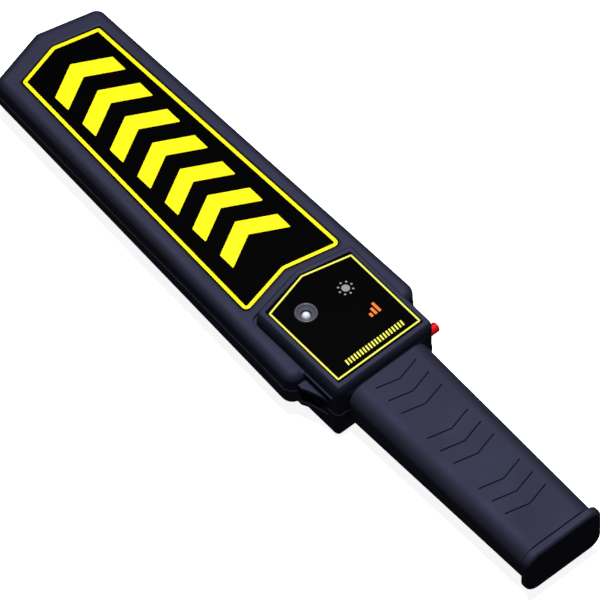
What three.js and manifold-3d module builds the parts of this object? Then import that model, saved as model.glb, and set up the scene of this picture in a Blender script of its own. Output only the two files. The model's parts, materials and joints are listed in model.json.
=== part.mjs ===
// Security metal detector wand, held in the hand.
// Lengths are in millimetres. X runs across the wand, Y towards the tip of its head, Z up.
// The origin is on the resting surface, under the middle of the wand's length.

import * as THREE from 'three';
import { mergeVertices } from 'three/addons/utils/BufferGeometryUtils.js';
import Module from 'manifold-3d';

const wasm = await Module();
wasm.setup();

// Fits, and how finely curves are stepped
const seatGap = 0.3;
const solderGap = 0.1;
const cutOver = 2;
const leastRadius = 0.4;
const arcSteps = 4;
const roundSteps = 3;
const barSides = 16;
const quarterTurn = Math.PI / 2;

// Overall sizes
const wandLength = 413.2;
const blockHeight = 45;
const tipY = wandLength / 2;
const rearY = -wandLength / 2;

// Head paddle: five-sided in plan, widening towards the handle
const panelRise = 8;
const headTop = blockHeight - panelRise;
const tipDepth = 20.6;
const rearDepth = 24.3;
const tipSetback = 9.1;
const shoulderHalfWidth = 35.8;
const headRearHalfWidth = 43.7;
const headRearY = -44.6;
const apexRadius = 6;
const shoulderRadius = 6;
const armRadius = 7;
const headTopRound = 5.5;
const headBottomRound = 3;

// Shell walls and the stepped seam between the two shells
const wall = 2.2;
const headSeamDrop = 12.3;
const bodySeamDrop = 23;
const headSeamZ = headTop - headSeamDrop;
const bodySeamZ = blockHeight - bodySeamDrop;
const seamGap = 0.3;

// Control block: a taller box that sits through the head's rear end
const blockHalfWidth = 33.4;
const blockRearY = -69.4;
const blockShoulderY = -3.4;
const blockPointRise = 7;
const blockRearRadius = 4;
const blockFrontRadius = 4;
const blockPointRadius = 3;
const blockTopInset = 2.9;
const blockShoulderRise = 7;
const blockFootRound = 6;
const blockFootInset = 0.8;
const ledgeDrop = 10.3;
const ledgeZ = blockHeight - ledgeDrop;
const ledgeDepth = 0.7;
const ribStand = 0.9;
const ribThickness = 1;
const ribFrontY = -43.6;
const ribRearY = -64.8;
const grooveWidth = 1.2;
const grooveDepth = 2;

// Webs that join the head's rear corners to the block's sides
const webThickness = 2.7;
const webDrop = 9;
const webSpacing = 12.8;
const upperWebZ = headTop - webDrop;
const lowerWebZ = upperWebZ - webSpacing;
const webOuterX = 38.4;
const webBendX = 35.6;
const webBendY = -50.6;
const webEndY = -61.6;
const webSteps = 8;

// Labels: thin printed films in shallow recesses
const filmThickness = 0.4;
const headLabelDepth = 0.8;
const controlLabelDepth = 0.5;
const labelSideMargin = 9.1;
const labelTipMargin = 12.7;
const labelTipFall = 6.6;
const labelRearY = 2.4;
const labelNotchRise = 7.2;
const labelRearRadius = 3;
const labelFrontRadius = 1.5;
const controlLabelMargin = 1.7;

// Grip sleeve round the tails of the two shells
const gripFrontHalfWidth = 26.1;
const gripFrontDrop = 7.1;
const gripFrontHeight = 29;
const gripFrontTop = blockHeight - gripFrontDrop;
const gripFrontBottom = gripFrontTop - gripFrontHeight;
const gripFrontRadius = 10;
const gripRearHalfWidth = 24.1;
const gripRearDrop = 8.55;
const gripRearHeight = 26.3;
const gripRearTop = blockHeight - gripRearDrop;
const gripRearBottom = gripRearTop - gripRearHeight;
const gripRearRadius = 9;
const gripWall = 2;
const chevronStartGap = 6.8;
const chevronPitch = 10;
const chevronSlots = [0, 1, 2, 4, 5, 6, 8, 9, 10];
const chevronHalfWidth = 13.8;
const chevronFall = 3.5;
const chevronWidth = 0.8;
const chevronDepth = 0.6;

// End cap, its gasket and its foam pad
const capThickness = 5;
const capLip = 1.3;
const capTopLip = 1.95;
const capHeight = 31.4;
const capHalfWidth = gripRearHalfWidth + capLip;
const capTop = gripRearTop + capTopLip;
const capBottom = capTop - capHeight;
const capRadius = 8;
const capRound = 2.4;
const gasketThickness = 0.8;
const gasketInset = 0.9;
const plugDepth = 6;
const padThickness = 1;

// Battery and its compartment in the tails
const batteryWidth = 26.5;
const batteryThickness = 17.5;
const batteryCaseLength = 46.4;
const batteryRound = 1.2;
const batteryClearance = 0.4;
const terminalLength = 2.1;
const terminalSpread = 6.35;
const positiveRadius = 2.8;
const negativeRadius = 3.6;
const tailWall = 1.7;
const cavityRadius = 5;
const guideWidth = 1.6;
const guideHeight = 6;
const contactBoardThickness = 1.6;
const contactWall = 0.6;
const stopRibThickness = 2;

// Screws that hold the shells together from below
const screwHeadRadius = 2.8;
const screwHeadHeight = 2.2;
const screwShankRadius = 1.5;
const screwPoint = 2;
const headScrewSeatDrop = 17;
const headScrewSeatZ = headTop - headScrewSeatDrop;
const headScrewLength = 11;
const blockScrewSeatZ = 10;
const blockScrewLength = 24;
const bossRadius = 4.6;
const headScrewGap = 37;
const headScrewPitch = 68;
const headScrewCount = 3;
const rearScrewX = 20;
const rearScrewY = -51.6;
const frontScrewX = 24;
const frontScrewY = -13.6;
const driveSlotWidth = 0.8;
const driveSlotLength = 3;
const driveSlotDepth = 1.1;

// Indicator lamp and sounder in the control panel
const lampX = -13.2;
const lampY = -21.5;
const bezelRadius = 6;
const bezelRimRadius = 5;
const bezelBarrelRadius = 4;
const bezelRise = 0.8;
const bezelFlange = 0.9;
const bezelBarrelDepth = 6;
const lampRadius = 2.5;
const lampBoreGap = 0.4;
const lampFlangeRadius = 2.9;
const lampFlangeHeight = 1;
const lampDrop = 0.6;
const lampLegWidth = 0.5;
const lampLegSpread = 1.27;
const sounderX = 12.3;
const sounderY = -23;
const sounderRadius = 6;
const sounderHeight = 8;
const sounderPortRadius = 1;
const sounderPortDepth = 3;
const grilleRadius = 5.2;
const grilleThickness = 1.4;
const grilleStepRadius = 4.2;
const portRadius = 2.3;
const dotRadius = 0.68;
const dotCircleRadius = 3.9;
const dotCount = 8;

// Circuit board and what is soldered to it
const boardThickness = 1.6;
const boardHalfWidth = 27;
const boardRearY = -64.1;
const boardFrontY = -6.6;
const boardRadius = 3;
const pillarRadius = 2.5;
const pillarX = 15;
const pillarFrontY = -10.6;
const pillarRearY = -57.6;
const boardScrewRadius = 1;
const boardScrewHeadRadius = 2;
const boardScrewHeadHeight = 1.2;
const boardScrewLength = 5;
const processorSide = 10;
const processorHeight = 1.3;
const processorX = 2;
const processorY = -37.6;
const amplifierLength = 8.6;
const amplifierWidth = 6;
const amplifierHeight = 1.6;
const amplifierX = -14;
const amplifierY = -37.6;
const capacitorRadius = 3.1;
const capacitorHeight = 7.5;
const capacitorX = 20;
const capacitorY = -34.6;
const capacitorPitch = 7;
const capacitorCount = 2;
const trimmerSide = 6.6;
const trimmerHeight = 4.8;
const trimmerX = -3;
const trimmerY = -51.6;
const trimmerDialRadius = 2;
const trimmerDialDepth = 0.8;
const regulatorLength = 6.5;
const regulatorWidth = 3.5;
const regulatorHeight = 1.7;
const regulatorX = 9;
const regulatorY = -50.6;

// Search coil: a former with two grooves, and a winding in each
const formerInset = 5;
const formerWidth = 9;
const formerRadius = 4;
const formerDrop = 5.4;
const formerHeight = 11.6;
const formerTopZ = headTop - formerDrop;
const formerBottomZ = formerTopZ - formerHeight;
const formerRearY = 8.4;
const windingHeight = 2.6;
const windingDepth = 3.4;
const windingRecess = 0.8;
const windingPitch = 5.4;
const upperWindingZ = formerTopZ - (formerHeight - windingPitch) / 2;
const lowerWindingZ = upperWindingZ - windingPitch;
const formerPostRadius = 2.5;
const formerPostPlacesShare = [0.12, 0.48, 0.84];

// Slide switch on the left side
const slideSwitchY = -53.6;
const slideSwitchRise = 0.5;
const slideSwitchZ = bodySeamZ + slideSwitchRise;
const slideSwitchLength = 15;
const slideSwitchHeight = 7;
const slideSwitchDepth = 4.5;
const knobLength = 5;
const knobHeight = 3.4;
const knobStand = 1.8;
const knobRibs = 3;
const knobRibDepth = 0.5;
const knobStemLength = 3;
const knobStemHeight = 2;
const knobStemReach = 2;
const knobTravel = 2;

// Push button on the right side
const buttonY = -62.1;
const buttonDrop = 18.5;
const buttonZ = blockHeight - buttonDrop;
const buttonRadius = 2.6;
const buttonStand = 7.4;
const buttonEndX = blockHalfWidth - ledgeDepth + buttonStand;
const buttonRound = 1;
const buttonFlangeRadius = 3.3;
const buttonFlangeThickness = 1.2;
const buttonStemRadius = 1;
const buttonStemLength = 2.2;
const buttonTravel = 1.2;
const tactSide = 6;
const tactDepth = 4.5;
const shelfThickness = 2;

// Vibration motor lying on the floor of the block
const motorX = -4;
const motorY = -35.6;
const motorRadius = 4;
const motorLength = 14;
const motorFloorGap = 1.2;
const motorShaftRadius = 0.6;
const motorShaftLength = 5;
const weightRadius = 3.4;
const weightLength = 3.6;
const weightHubRadius = 1.5;
const saddleThickness = 2;
const saddleInset = 2;
const saddleHalfWidth = 5.5;

// Wires inside the handle
const wireRadius = 0.8;
const wireSides = 6;
const wireSteps = 26;
const wireRise = 3.7;
const wireLowRise = 0.7;
const wireSpread = 4;
const wireEndY = -55.6;
const wireTurn = 4;
const coilCableX = 6;
const coilCableDrop = 11;
const coilCableEndY = -15.6;

// Materials, with the colours of the photographed wand
function finish(color, roughness, metalness = 0) {
  return new THREE.MeshStandardMaterial({ color, roughness, metalness });
}
const finishes = {
  shell: finish('#3d3c4e', 0.55),
  grip: finish('#3a3949', 0.6),
  label: finish('#0b0b0d', 0.35),
  rim: finish('#6d6d78', 0.35),
  lamp: finish('#d9d9dc', 0.15),
  sounder: finish('#17171a', 0.6),
  mesh: finish('#8f8f94', 0.8),
  board: finish('#1c5a34', 0.5),
  chip: finish('#161618', 0.5),
  can: finish('#b9bcc2', 0.3, 0.9),
  trimmer: finish('#2c5fa8', 0.5),
  former: finish('#cfccc2', 0.6),
  copper: finish('#b4692e', 0.4, 0.8),
  steel: finish('#9a9da3', 0.35, 1),
  knob: finish('#101013', 0.5),
  button: finish('#e0101c', 0.3),
  gasket: finish('#151517', 0.85),
  pad: finish('#2a2a2c', 0.95),
  battery: finish('#2f3238', 0.4),
  redWire: finish('#b3131a', 0.5),
  blackWire: finish('#131314', 0.5),
};

// Solids from geometries, and back

function signedVolume(places, corners) {
  const [a, b, c] = [new THREE.Vector3(), new THREE.Vector3(), new THREE.Vector3()];
  let sum = 0;
  for (let i = 0; i < corners.length; i += 3) {
    a.fromArray(places, 3 * corners[i]);
    b.fromArray(places, 3 * corners[i + 1]);
    c.fromArray(places, 3 * corners[i + 2]);
    sum += a.dot(b.cross(c)) / 6;
  }
  return sum;
}

function solidFrom(geometry) {
  const bare = geometry.index ? geometry.toNonIndexed() : geometry.clone();
  bare.deleteAttribute('normal');
  bare.deleteAttribute('uv');
  const merged = mergeVertices(bare);
  const corners = merged.index.array;
  const kept = [];
  for (let i = 0; i < corners.length; i += 3) {
    const [a, b, c] = [corners[i], corners[i + 1], corners[i + 2]];
    if (a !== b && b !== c && c !== a) kept.push(a, b, c);
  }
  const vertProperties = new Float32Array(merged.attributes.position.array);
  const triVerts = new Uint32Array(signedVolume(vertProperties, kept) < 0 ? kept.reverse() : kept);
  return new wasm.Manifold(new wasm.Mesh({ numProp: 3, vertProperties, triVerts }));
}

function geometryFrom(solid) {
  const mesh = solid.getMesh();
  const geometry = new THREE.BufferGeometry();
  geometry.setAttribute('position', new THREE.BufferAttribute(new Float32Array(mesh.vertProperties), 3));
  geometry.setIndex(new THREE.BufferAttribute(new Uint32Array(mesh.triVerts), 1));
  geometry.computeVertexNormals();
  return geometry;
}

function join(solids) {
  return solids.reduce((whole, solid) => whole.add(solid));
}

// Outlines: polygons whose corners each have a radius, drawn in or out by a distance

function inwardNormal(from, to) {
  const run = new THREE.Vector2(to.x - from.x, to.y - from.y).normalize();
  return new THREE.Vector2(-run.y, run.x);
}

function drawnIn(corners, inset) {
  return corners.map((corner, i) => {
    const before = corners[(i + corners.length - 1) % corners.length];
    const after = corners[(i + 1) % corners.length];
    const first = inwardNormal(before, corner);
    const second = inwardNormal(corner, after);
    const share = inset / (1 + first.dot(second));
    const radius = first.cross(second) > 0 ? corner.r - inset : corner.r + inset;
    return {
      x: corner.x + (first.x + second.x) * share,
      y: corner.y + (first.y + second.y) * share,
      r: Math.max(radius, leastRadius),
    };
  });
}

function cornerArc(corners, i) {
  const before = corners[(i + corners.length - 1) % corners.length];
  const after = corners[(i + 1) % corners.length];
  const corner = new THREE.Vector2(corners[i].x, corners[i].y);
  const toBefore = new THREE.Vector2(before.x, before.y).sub(corner).normalize();
  const toAfter = new THREE.Vector2(after.x, after.y).sub(corner).normalize();
  const half = Math.acos(THREE.MathUtils.clamp(toBefore.dot(toAfter), -1, 1)) / 2;
  const middle = toBefore.clone().add(toAfter).normalize();
  const centre = corner.clone().addScaledVector(middle, corners[i].r / Math.sin(half));
  const reach = corners[i].r / Math.tan(half);
  const start = corner.clone().addScaledVector(toBefore, reach).sub(centre);
  const end = corner.clone().addScaledVector(toAfter, reach).sub(centre);
  const sweep = Math.atan2(start.cross(end), start.dot(end));
  const points = [];
  for (let k = 0; k <= arcSteps; k++) {
    const turned = start.clone().rotateAround(new THREE.Vector2(), sweep * k / arcSteps);
    points.push(turned.add(centre));
  }
  return points;
}

function outline(corners, inset = 0) {
  const moved = drawnIn(corners, inset);
  return moved.flatMap((corner, i) => cornerArc(moved, i));
}

function rectangle(halfWidth, bottom, top, radius) {
  return [
    { x: -halfWidth, y: top, r: radius },
    { x: -halfWidth, y: bottom, r: radius },
    { x: halfWidth, y: bottom, r: radius },
    { x: halfWidth, y: top, r: radius },
  ];
}

// A closed skin over rings of equal count, with a flat fan at each end
function loft(rings) {
  const count = rings[0].length;
  const points = rings.flat();
  const index = [];
  for (let row = 0; row < rings.length - 1; row++) {
    for (let i = 0; i < count; i++) {
      const a = row * count + i;
      const b = row * count + (i + 1) % count;
      index.push(a, b, b + count, a, b + count, a + count);
    }
  }
  const ends = [[0, -1], [rings.length - 1, 1]];
  for (const [row, side] of ends) {
    const centre = rings[row].reduce((sum, p) => sum.add(p), new THREE.Vector3()).divideScalar(count);
    points.push(centre);
    for (let i = 0; i < count; i++) {
      const a = row * count + i;
      const b = row * count + (i + 1) % count;
      if (side > 0) index.push(a, b, points.length - 1);
      else index.push(b, a, points.length - 1);
    }
  }
  const geometry = new THREE.BufferGeometry().setFromPoints(points);
  geometry.setIndex(index);
  return geometry;
}

// A solid whose outline is drawn in by a stated amount at each level
function levelled(corners, levels) {
  const rings = levels.map((level) => outline(corners, level.inset)
    .map((p) => new THREE.Vector3(p.x, p.y, level.z(p.y))));
  return solidFrom(loft(rings));
}

// Levels of a slab with a round along its lower and its upper edge
function slabLevels(bottomAt, topAt, bottomRound, topRound) {
  const levels = [];
  for (let k = 0; k <= roundSteps; k++) {
    const angle = quarterTurn * k / roundSteps;
    const rise = bottomRound * (1 - Math.cos(angle));
    levels.push({ inset: bottomRound * (1 - Math.sin(angle)), z: (y) => bottomAt(y) + rise });
  }
  for (let k = 0; k <= roundSteps; k++) {
    const angle = quarterTurn * k / roundSteps;
    const fall = topRound * (1 - Math.sin(angle));
    levels.push({ inset: topRound * (1 - Math.cos(angle)), z: (y) => topAt(y) - fall });
  }
  return levels;
}

function prism(points, bottomZ, topZ) {
  const settings = { depth: topZ - bottomZ, bevelEnabled: false };
  const geometry = new THREE.ExtrudeGeometry(new THREE.Shape(points), settings);
  return solidFrom(geometry.translate(0, 0, bottomZ));
}

// A profile in the YZ plane, extruded across the wand
function acrossPrism(points, leftX, rightX) {
  const settings = { depth: rightX - leftX, bevelEnabled: false };
  const geometry = new THREE.ExtrudeGeometry(new THREE.Shape(points), settings);
  const turn = new THREE.Matrix4().makeBasis(
    new THREE.Vector3(0, 1, 0), new THREE.Vector3(0, 0, 1), new THREE.Vector3(1, 0, 0));
  return solidFrom(geometry.applyMatrix4(turn).translate(leftX, 0, 0));
}

// A profile in the XZ plane, extruded along the wand
function alongPrism(points, startY, endY) {
  const settings = { depth: endY - startY, bevelEnabled: false };
  const geometry = new THREE.ExtrudeGeometry(new THREE.Shape(points), settings);
  const turn = new THREE.Matrix4().makeBasis(
    new THREE.Vector3(1, 0, 0), new THREE.Vector3(0, 0, 1), new THREE.Vector3(0, -1, 0));
  return solidFrom(geometry.applyMatrix4(turn).translate(0, endY, 0));
}

function box(fromX, toX, fromY, toY, fromZ, toZ) {
  const geometry = new THREE.BoxGeometry(toX - fromX, toY - fromY, toZ - fromZ);
  return solidFrom(geometry.translate((fromX + toX) / 2, (fromY + toY) / 2, (fromZ + toZ) / 2));
}

// A turned solid on an upright axis, from points of radius and height
function turned(profile, sides = barSides) {
  const points = profile.map(([radius, height]) => new THREE.Vector2(radius, height));
  return new THREE.LatheGeometry(points, sides);
}

function uprightTurned(profile, x, y, sides = barSides) {
  const geometry = turned(profile, sides).rotateX(quarterTurn).translate(x, y, 0);
  return solidFrom(geometry);
}

function post(x, y, radius, bottomZ, topZ) {
  return uprightTurned([[0, bottomZ], [radius, bottomZ], [radius, topZ], [0, topZ]], x, y);
}

// A turned solid whose axis lies across the wand, from points of radius and place along X
function acrossTurned(profile, y, z, sides = barSides) {
  const geometry = turned(profile, sides).rotateZ(-quarterTurn).translate(0, y, z);
  return solidFrom(geometry);
}

function acrossBar(y, z, radius, fromX, toX) {
  return acrossTurned([[0, fromX], [radius, fromX], [radius, toX], [0, toX]], y, z);
}

// A turned solid whose axis lies along the wand, from points of radius and place along Y
function alongTurned(profile, x, z) {
  return solidFrom(turned(profile).translate(x, 0, z));
}

// The assembly and how a piece is added to it
const wand = new THREE.Group();

function addPiece(name, solid, material) {
  const mesh = new THREE.Mesh(geometryFrom(solid), material);
  mesh.name = name;
  wand.add(mesh);
}

// Heights and widths that several pieces share

function halfWidthAt(y) {
  const shoulderY = tipY - tipSetback;
  const share = (shoulderY - y) / (shoulderY - headRearY);
  return shoulderHalfWidth + (headRearHalfWidth - shoulderHalfWidth) * share;
}

function undersideAt(y) {
  const share = (y - headRearY) / (tipY - headRearY);
  return headTop - rearDepth + (rearDepth - tipDepth) * share;
}

const headCeiling = headTop - headLabelDepth - wall;
const panelSeatZ = blockHeight - controlLabelDepth;
const panelUnderside = panelSeatZ - wall;
const blockFloor = wall;
const gripFrontY = blockRearY - seatGap;
const gripRearY = rearY + capThickness + seatGap + gasketThickness + seatGap;
const cavityHalfWidth = gripRearHalfWidth - gripWall - seatGap - tailWall;
const cavityCentreZ = (gripRearBottom + gripRearTop) / 2;
const cavityHalfHeight = batteryThickness / 2 + batteryClearance;
const cavityFloor = cavityCentreZ - cavityHalfHeight;
const boardTopZ = panelUnderside - seatGap - sounderHeight - solderGap;
const boardBottomZ = boardTopZ - boardThickness;

// Outer form of the two shells together

const headCorners = [
  { x: 0, y: tipY, r: apexRadius },
  { x: -shoulderHalfWidth, y: tipY - tipSetback, r: shoulderRadius },
  { x: -headRearHalfWidth, y: headRearY, r: armRadius },
  { x: headRearHalfWidth, y: headRearY, r: armRadius },
  { x: shoulderHalfWidth, y: tipY - tipSetback, r: shoulderRadius },
];

const blockCorners = [
  { x: 0, y: blockShoulderY + blockPointRise, r: blockPointRadius },
  { x: -blockHalfWidth, y: blockShoulderY, r: blockFrontRadius },
  { x: -blockHalfWidth, y: blockRearY, r: blockRearRadius },
  { x: blockHalfWidth, y: blockRearY, r: blockRearRadius },
  { x: blockHalfWidth, y: blockShoulderY, r: blockFrontRadius },
];

// Levels of the block: a round foot, straight sides and a soft shoulder at the top
function blockLevels() {
  const levels = [];
  for (let k = 0; k <= roundSteps; k++) {
    const angle = quarterTurn * k / roundSteps;
    const rise = blockFootRound * (1 - Math.cos(angle));
    levels.push({ inset: blockFootInset + blockFootRound * (1 - Math.sin(angle)), z: () => rise });
  }
  for (let k = 0; k <= roundSteps; k++) {
    const angle = quarterTurn * k / roundSteps;
    const fall = blockShoulderRise * (1 - Math.sin(angle));
    const inset = ledgeDepth + (blockTopInset - ledgeDepth) * (1 - Math.cos(angle));
    levels.push({ inset, z: () => blockHeight - fall });
  }
  return levels;
}

function gripRing(y, inset) {
  const share = (gripFrontY - y) / (gripFrontY - gripRearY);
  const between = (front, rear) => THREE.MathUtils.lerp(front, rear, share);
  const corners = rectangle(
    between(gripFrontHalfWidth, gripRearHalfWidth),
    between(gripFrontBottom, gripRearBottom),
    between(gripFrontTop, gripRearTop),
    between(gripFrontRadius, gripRearRadius));
  return outline(corners, inset).map((p) => new THREE.Vector3(p.x, y, p.y));
}

function gripSolid(fromY, toY, inset) {
  return solidFrom(loft([gripRing(toY, inset), gripRing(fromY, inset)]));
}

function webSolid(side, middleZ) {
  const points = [];
  for (let k = 0; k <= webSteps; k++) {
    const share = k / webSteps;
    const rest = 1 - share;
    const x = rest * rest * webOuterX + 2 * rest * share * webBendX + share * share * blockHalfWidth;
    const y = rest * rest * headRearY + 2 * rest * share * webBendY + share * share * webEndY;
    points.push(new THREE.Vector2(side * x, y));
  }
  const rootX = blockHalfWidth - wall;
  points.push(new THREE.Vector2(side * rootX, webEndY));
  points.push(new THREE.Vector2(side * rootX, headRearY + wall));
  points.push(new THREE.Vector2(side * webOuterX, headRearY + wall));
  return prism(points, middleZ - webThickness / 2, middleZ + webThickness / 2);
}

function outerForm() {
  const head = levelled(headCorners, slabLevels(undersideAt, () => headTop, headBottomRound, headTopRound));
  const groove = prism(outline(blockCorners, -grooveWidth), headTop - grooveDepth, headTop + cutOver);
  const block = levelled(blockCorners, blockLevels());
  const tail = gripSolid(gripRearY, blockRearY + wall, gripWall + seatGap);
  const webs = [-1, 1].flatMap((side) => [webSolid(side, upperWebZ), webSolid(side, lowerWebZ)]);
  const ribs = [-1, 1].map((side) => sideRib(side));
  return join([head.subtract(groove), block, tail, ...webs, ...ribs]);
}

// Thin rib along one side of the block, behind the head's arm
function sideRib(side) {
  const rootX = side * (blockHalfWidth - ledgeDepth - wall / 2);
  const outerX = side * (blockHalfWidth - ledgeDepth + ribStand);
  return box(Math.min(rootX, outerX), Math.max(rootX, outerX), ribRearY, ribFrontY,
    ledgeZ - ribThickness, ledgeZ);
}

// Hollow inside the shells
function innerHollow() {
  const floorAt = (y) => undersideAt(y) + wall;
  const headRound = headBottomRound - leastRadius;
  const headLevels = slabLevels(floorAt, () => headCeiling, headRound, headRound);
  const head = levelled(drawnIn(headCorners, wall), headLevels);
  const block = levelled(drawnIn(blockCorners, wall), [
    { inset: blockFootRound, z: () => blockFloor },
    { inset: blockFootInset, z: () => blockFootRound + wall },
    { inset: ledgeDepth, z: () => headCeiling },
    { inset: blockTopInset, z: () => panelUnderside },
  ]);
  const battery = alongPrism(
    outline(rectangle(cavityHalfWidth, cavityFloor, cavityFloor + 2 * cavityHalfHeight, cavityRadius)),
    rearY, blockRearY + wall + cutOver);
  return join([head, block, battery]);
}

// Region above the seam, and region below it
function seamRegion(isUpper) {
  const offset = isUpper ? seamGap / 2 : -seamGap / 2;
  const farZ = isUpper ? blockHeight + cutOver : -cutOver;
  const stepY = headRearY - offset;
  const points = [
    new THREE.Vector2(rearY - cutOver, bodySeamZ + offset),
    new THREE.Vector2(stepY, bodySeamZ + offset),
    new THREE.Vector2(stepY, headSeamZ + offset),
    new THREE.Vector2(tipY + cutOver, headSeamZ + offset),
    new THREE.Vector2(tipY + cutOver, farZ),
    new THREE.Vector2(rearY - cutOver, farZ),
  ];
  const reach = headRearHalfWidth + cutOver;
  return acrossPrism(points, -reach, reach);
}

// Places of the case screws, with the height that each head seats at and its length

const caseScrews = [];
for (let k = 0; k < headScrewCount; k++) {
  caseScrews.push({
    x: 0, y: tipY - headScrewGap - k * headScrewPitch, seatZ: headScrewSeatZ, length: headScrewLength,
  });
}
for (const side of [-1, 1]) {
  const seat = { seatZ: blockScrewSeatZ, length: blockScrewLength };
  caseScrews.push({ x: side * frontScrewX, y: frontScrewY, ...seat });
  caseScrews.push({ x: side * rearScrewX, y: rearScrewY, ...seat });
}

const formerFrontY = tipY - formerInset - tipSetback;
const formerPosts = formerPostPlacesShare.flatMap((share) => {
  const y = THREE.MathUtils.lerp(formerRearY, formerFrontY, share);
  const x = halfWidthAt(y) - formerInset - formerWidth / 2;
  return [{ x: -x, y }, { x, y }];
});
const boardPillars = [-1, 1].flatMap((side) => [
  { x: side * pillarX, y: pillarFrontY },
  { x: side * pillarX, y: pillarRearY },
]);

const lampBaseZ = panelSeatZ + bezelFlange - bezelBarrelDepth - seatGap;
const batteryRearY = rearY + capThickness + plugDepth + padThickness + 2 * seatGap;
const batteryShoulderY = batteryRearY + batteryCaseLength;
const batteryFrontY = batteryShoulderY + terminalLength;
const contactFaceY = batteryFrontY + seatGap;
const contactBackY = contactFaceY + contactBoardThickness;
const blockOuterX = blockHalfWidth - ledgeDepth;
const blockInnerX = blockOuterX - wall;
const motorZ = blockFloor + motorFloorGap + motorRadius;
const boardCorners = rectangle(boardHalfWidth, boardRearY, boardFrontY, boardRadius);

// Cuts that both shells share: screw holes, the slide switch's slot and the button's hole
function sharedCuts() {
  const holes = caseScrews.map((screw) =>
    post(screw.x, screw.y, screwShankRadius + seatGap,
      screw.seatZ - cutOver, screw.seatZ + screw.length + seatGap));
  const halfSlot = knobLength / 2 + knobTravel + seatGap;
  const slot = box(
    -blockHalfWidth - cutOver, -blockInnerX + cutOver,
    slideSwitchY - halfSlot, slideSwitchY + halfSlot,
    slideSwitchZ - knobHeight / 2 - seatGap, slideSwitchZ + knobHeight / 2 + seatGap);
  const button = acrossBar(buttonY, buttonZ, buttonRadius + seatGap, blockInnerX - wall, buttonEndX);
  return join([...holes, slot, button]);
}

function bosses(outer) {
  const posts = caseScrews.map((screw) => post(screw.x, screw.y, bossRadius, -cutOver, blockHeight));
  return join(posts).intersect(outer);
}

// Label outlines, drawn in the plane that each film lies in

const headLabelCorners = (() => {
  const shoulderY = tipY - labelTipMargin - labelTipFall;
  const frontX = halfWidthAt(shoulderY) - labelSideMargin;
  const backX = halfWidthAt(labelRearY) - labelSideMargin;
  return [
    { x: 0, y: tipY - labelTipMargin, r: labelFrontRadius },
    { x: -frontX, y: shoulderY, r: labelFrontRadius },
    { x: -backX, y: labelRearY, r: labelRearRadius },
    { x: 0, y: labelRearY + labelNotchRise, r: labelFrontRadius },
    { x: backX, y: labelRearY, r: labelRearRadius },
    { x: frontX, y: shoulderY, r: labelFrontRadius },
  ];
})();
const controlLabelCorners = drawnIn(blockCorners, blockTopInset + controlLabelMargin);

// Upper shell: head top, control panel and the upper half of the tail
function upperShell(outer, hollow) {
  const region = seamRegion(true);
  const walls = outer.intersect(region).subtract(hollow);
  const inner = [bosses(outer).intersect(region)];
  const pillars = boardPillars.map((p) => post(p.x, p.y, pillarRadius, boardTopZ + seatGap, panelSeatZ));
  const presses = formerPosts.map((p) =>
    post(p.x, p.y, formerPostRadius, formerTopZ + seatGap, headCeiling + wall / 2));
  const pilots = boardPillars.map((p) =>
    post(p.x, p.y, boardScrewRadius + seatGap, boardTopZ, boardTopZ + boardScrewLength));
  const headRecess = prism(outline(headLabelCorners), headTop - headLabelDepth, headTop + cutOver);
  const panelRecess = prism(outline(controlLabelCorners), panelSeatZ, blockHeight + cutOver);
  const lampHole = post(lampX, lampY, bezelBarrelRadius + seatGap, panelUnderside - cutOver, blockHeight);
  const grilleHole = uprightTurned([
    [0, panelUnderside - cutOver],
    [grilleStepRadius, panelUnderside - cutOver],
    [grilleStepRadius, panelSeatZ - grilleThickness],
    [grilleRadius + seatGap, panelSeatZ - grilleThickness],
    [grilleRadius + seatGap, blockHeight],
    [0, blockHeight],
  ], sounderX, sounderY);
  return join([walls, ...inner, ...pillars, ...presses])
    .subtract(join([sharedCuts(), ...pilots, headRecess, panelRecess, lampHole, grilleHole]));
}

// Saddle ribs that cradle the motor
function motorSaddles() {
  const firstX = motorX - motorLength / 2 + saddleInset;
  const lastX = motorX + motorLength / 2 - saddleInset - saddleThickness;
  const ribs = [firstX, lastX].map((x) =>
    box(x, x + saddleThickness,
      motorY - saddleHalfWidth, motorY + saddleHalfWidth, blockFloor / 2, motorZ));
  const reach = motorLength;
  const bed = acrossBar(motorY, motorZ, motorRadius + seatGap, motorX - reach, motorX + reach);
  return join(ribs).subtract(bed);
}

// Ribs in the lower tail that guide the battery and stop it
function batteryRibs() {
  const guideX = batteryWidth / 2 + batteryClearance;
  const footZ = cavityFloor - tailWall / 2;
  const guides = [-1, 1].map((side) => {
    const fromX = side > 0 ? guideX : -guideX - guideWidth;
    return box(fromX, fromX + guideWidth, batteryRearY, contactBackY, footZ, cavityFloor + guideHeight);
  });
  const stop = box(-cavityHalfWidth - tailWall / 2, cavityHalfWidth + tailWall / 2,
    contactBackY + seatGap, contactBackY + seatGap + stopRibThickness, footZ, bodySeamZ - seamGap / 2);
  return join([...guides, stop]);
}

// Lower shell: head underside, the block's foot and the lower half of the tail
function lowerShell(outer, hollow) {
  const region = seamRegion(false);
  const walls = outer.intersect(region).subtract(hollow);
  const lowerBosses = bosses(outer).intersect(region);
  const props = join(formerPosts.map((p) => post(p.x, p.y, formerPostRadius, 0, formerBottomZ - seatGap)));
  const shelf = box(tactBackX, tactBackX + tactDepth,
    buttonY - shelfThickness / 2, buttonY + shelfThickness / 2,
    blockFloor / 2, buttonZ - tactSide / 2 - seatGap);
  const ribs = join([props, shelf, motorSaddles(), batteryRibs()]).intersect(outer);
  const recesses = caseScrews.map((screw) =>
    post(screw.x, screw.y, screwHeadRadius + seatGap, -cutOver, screw.seatZ));
  return join([walls, lowerBosses, ribs]).subtract(join([sharedCuts(), ...recesses]));
}

const tactFaceX = blockInnerX - seatGap - buttonFlangeThickness - buttonTravel - seatGap;
const tactBackX = tactFaceX - tactDepth;

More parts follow.
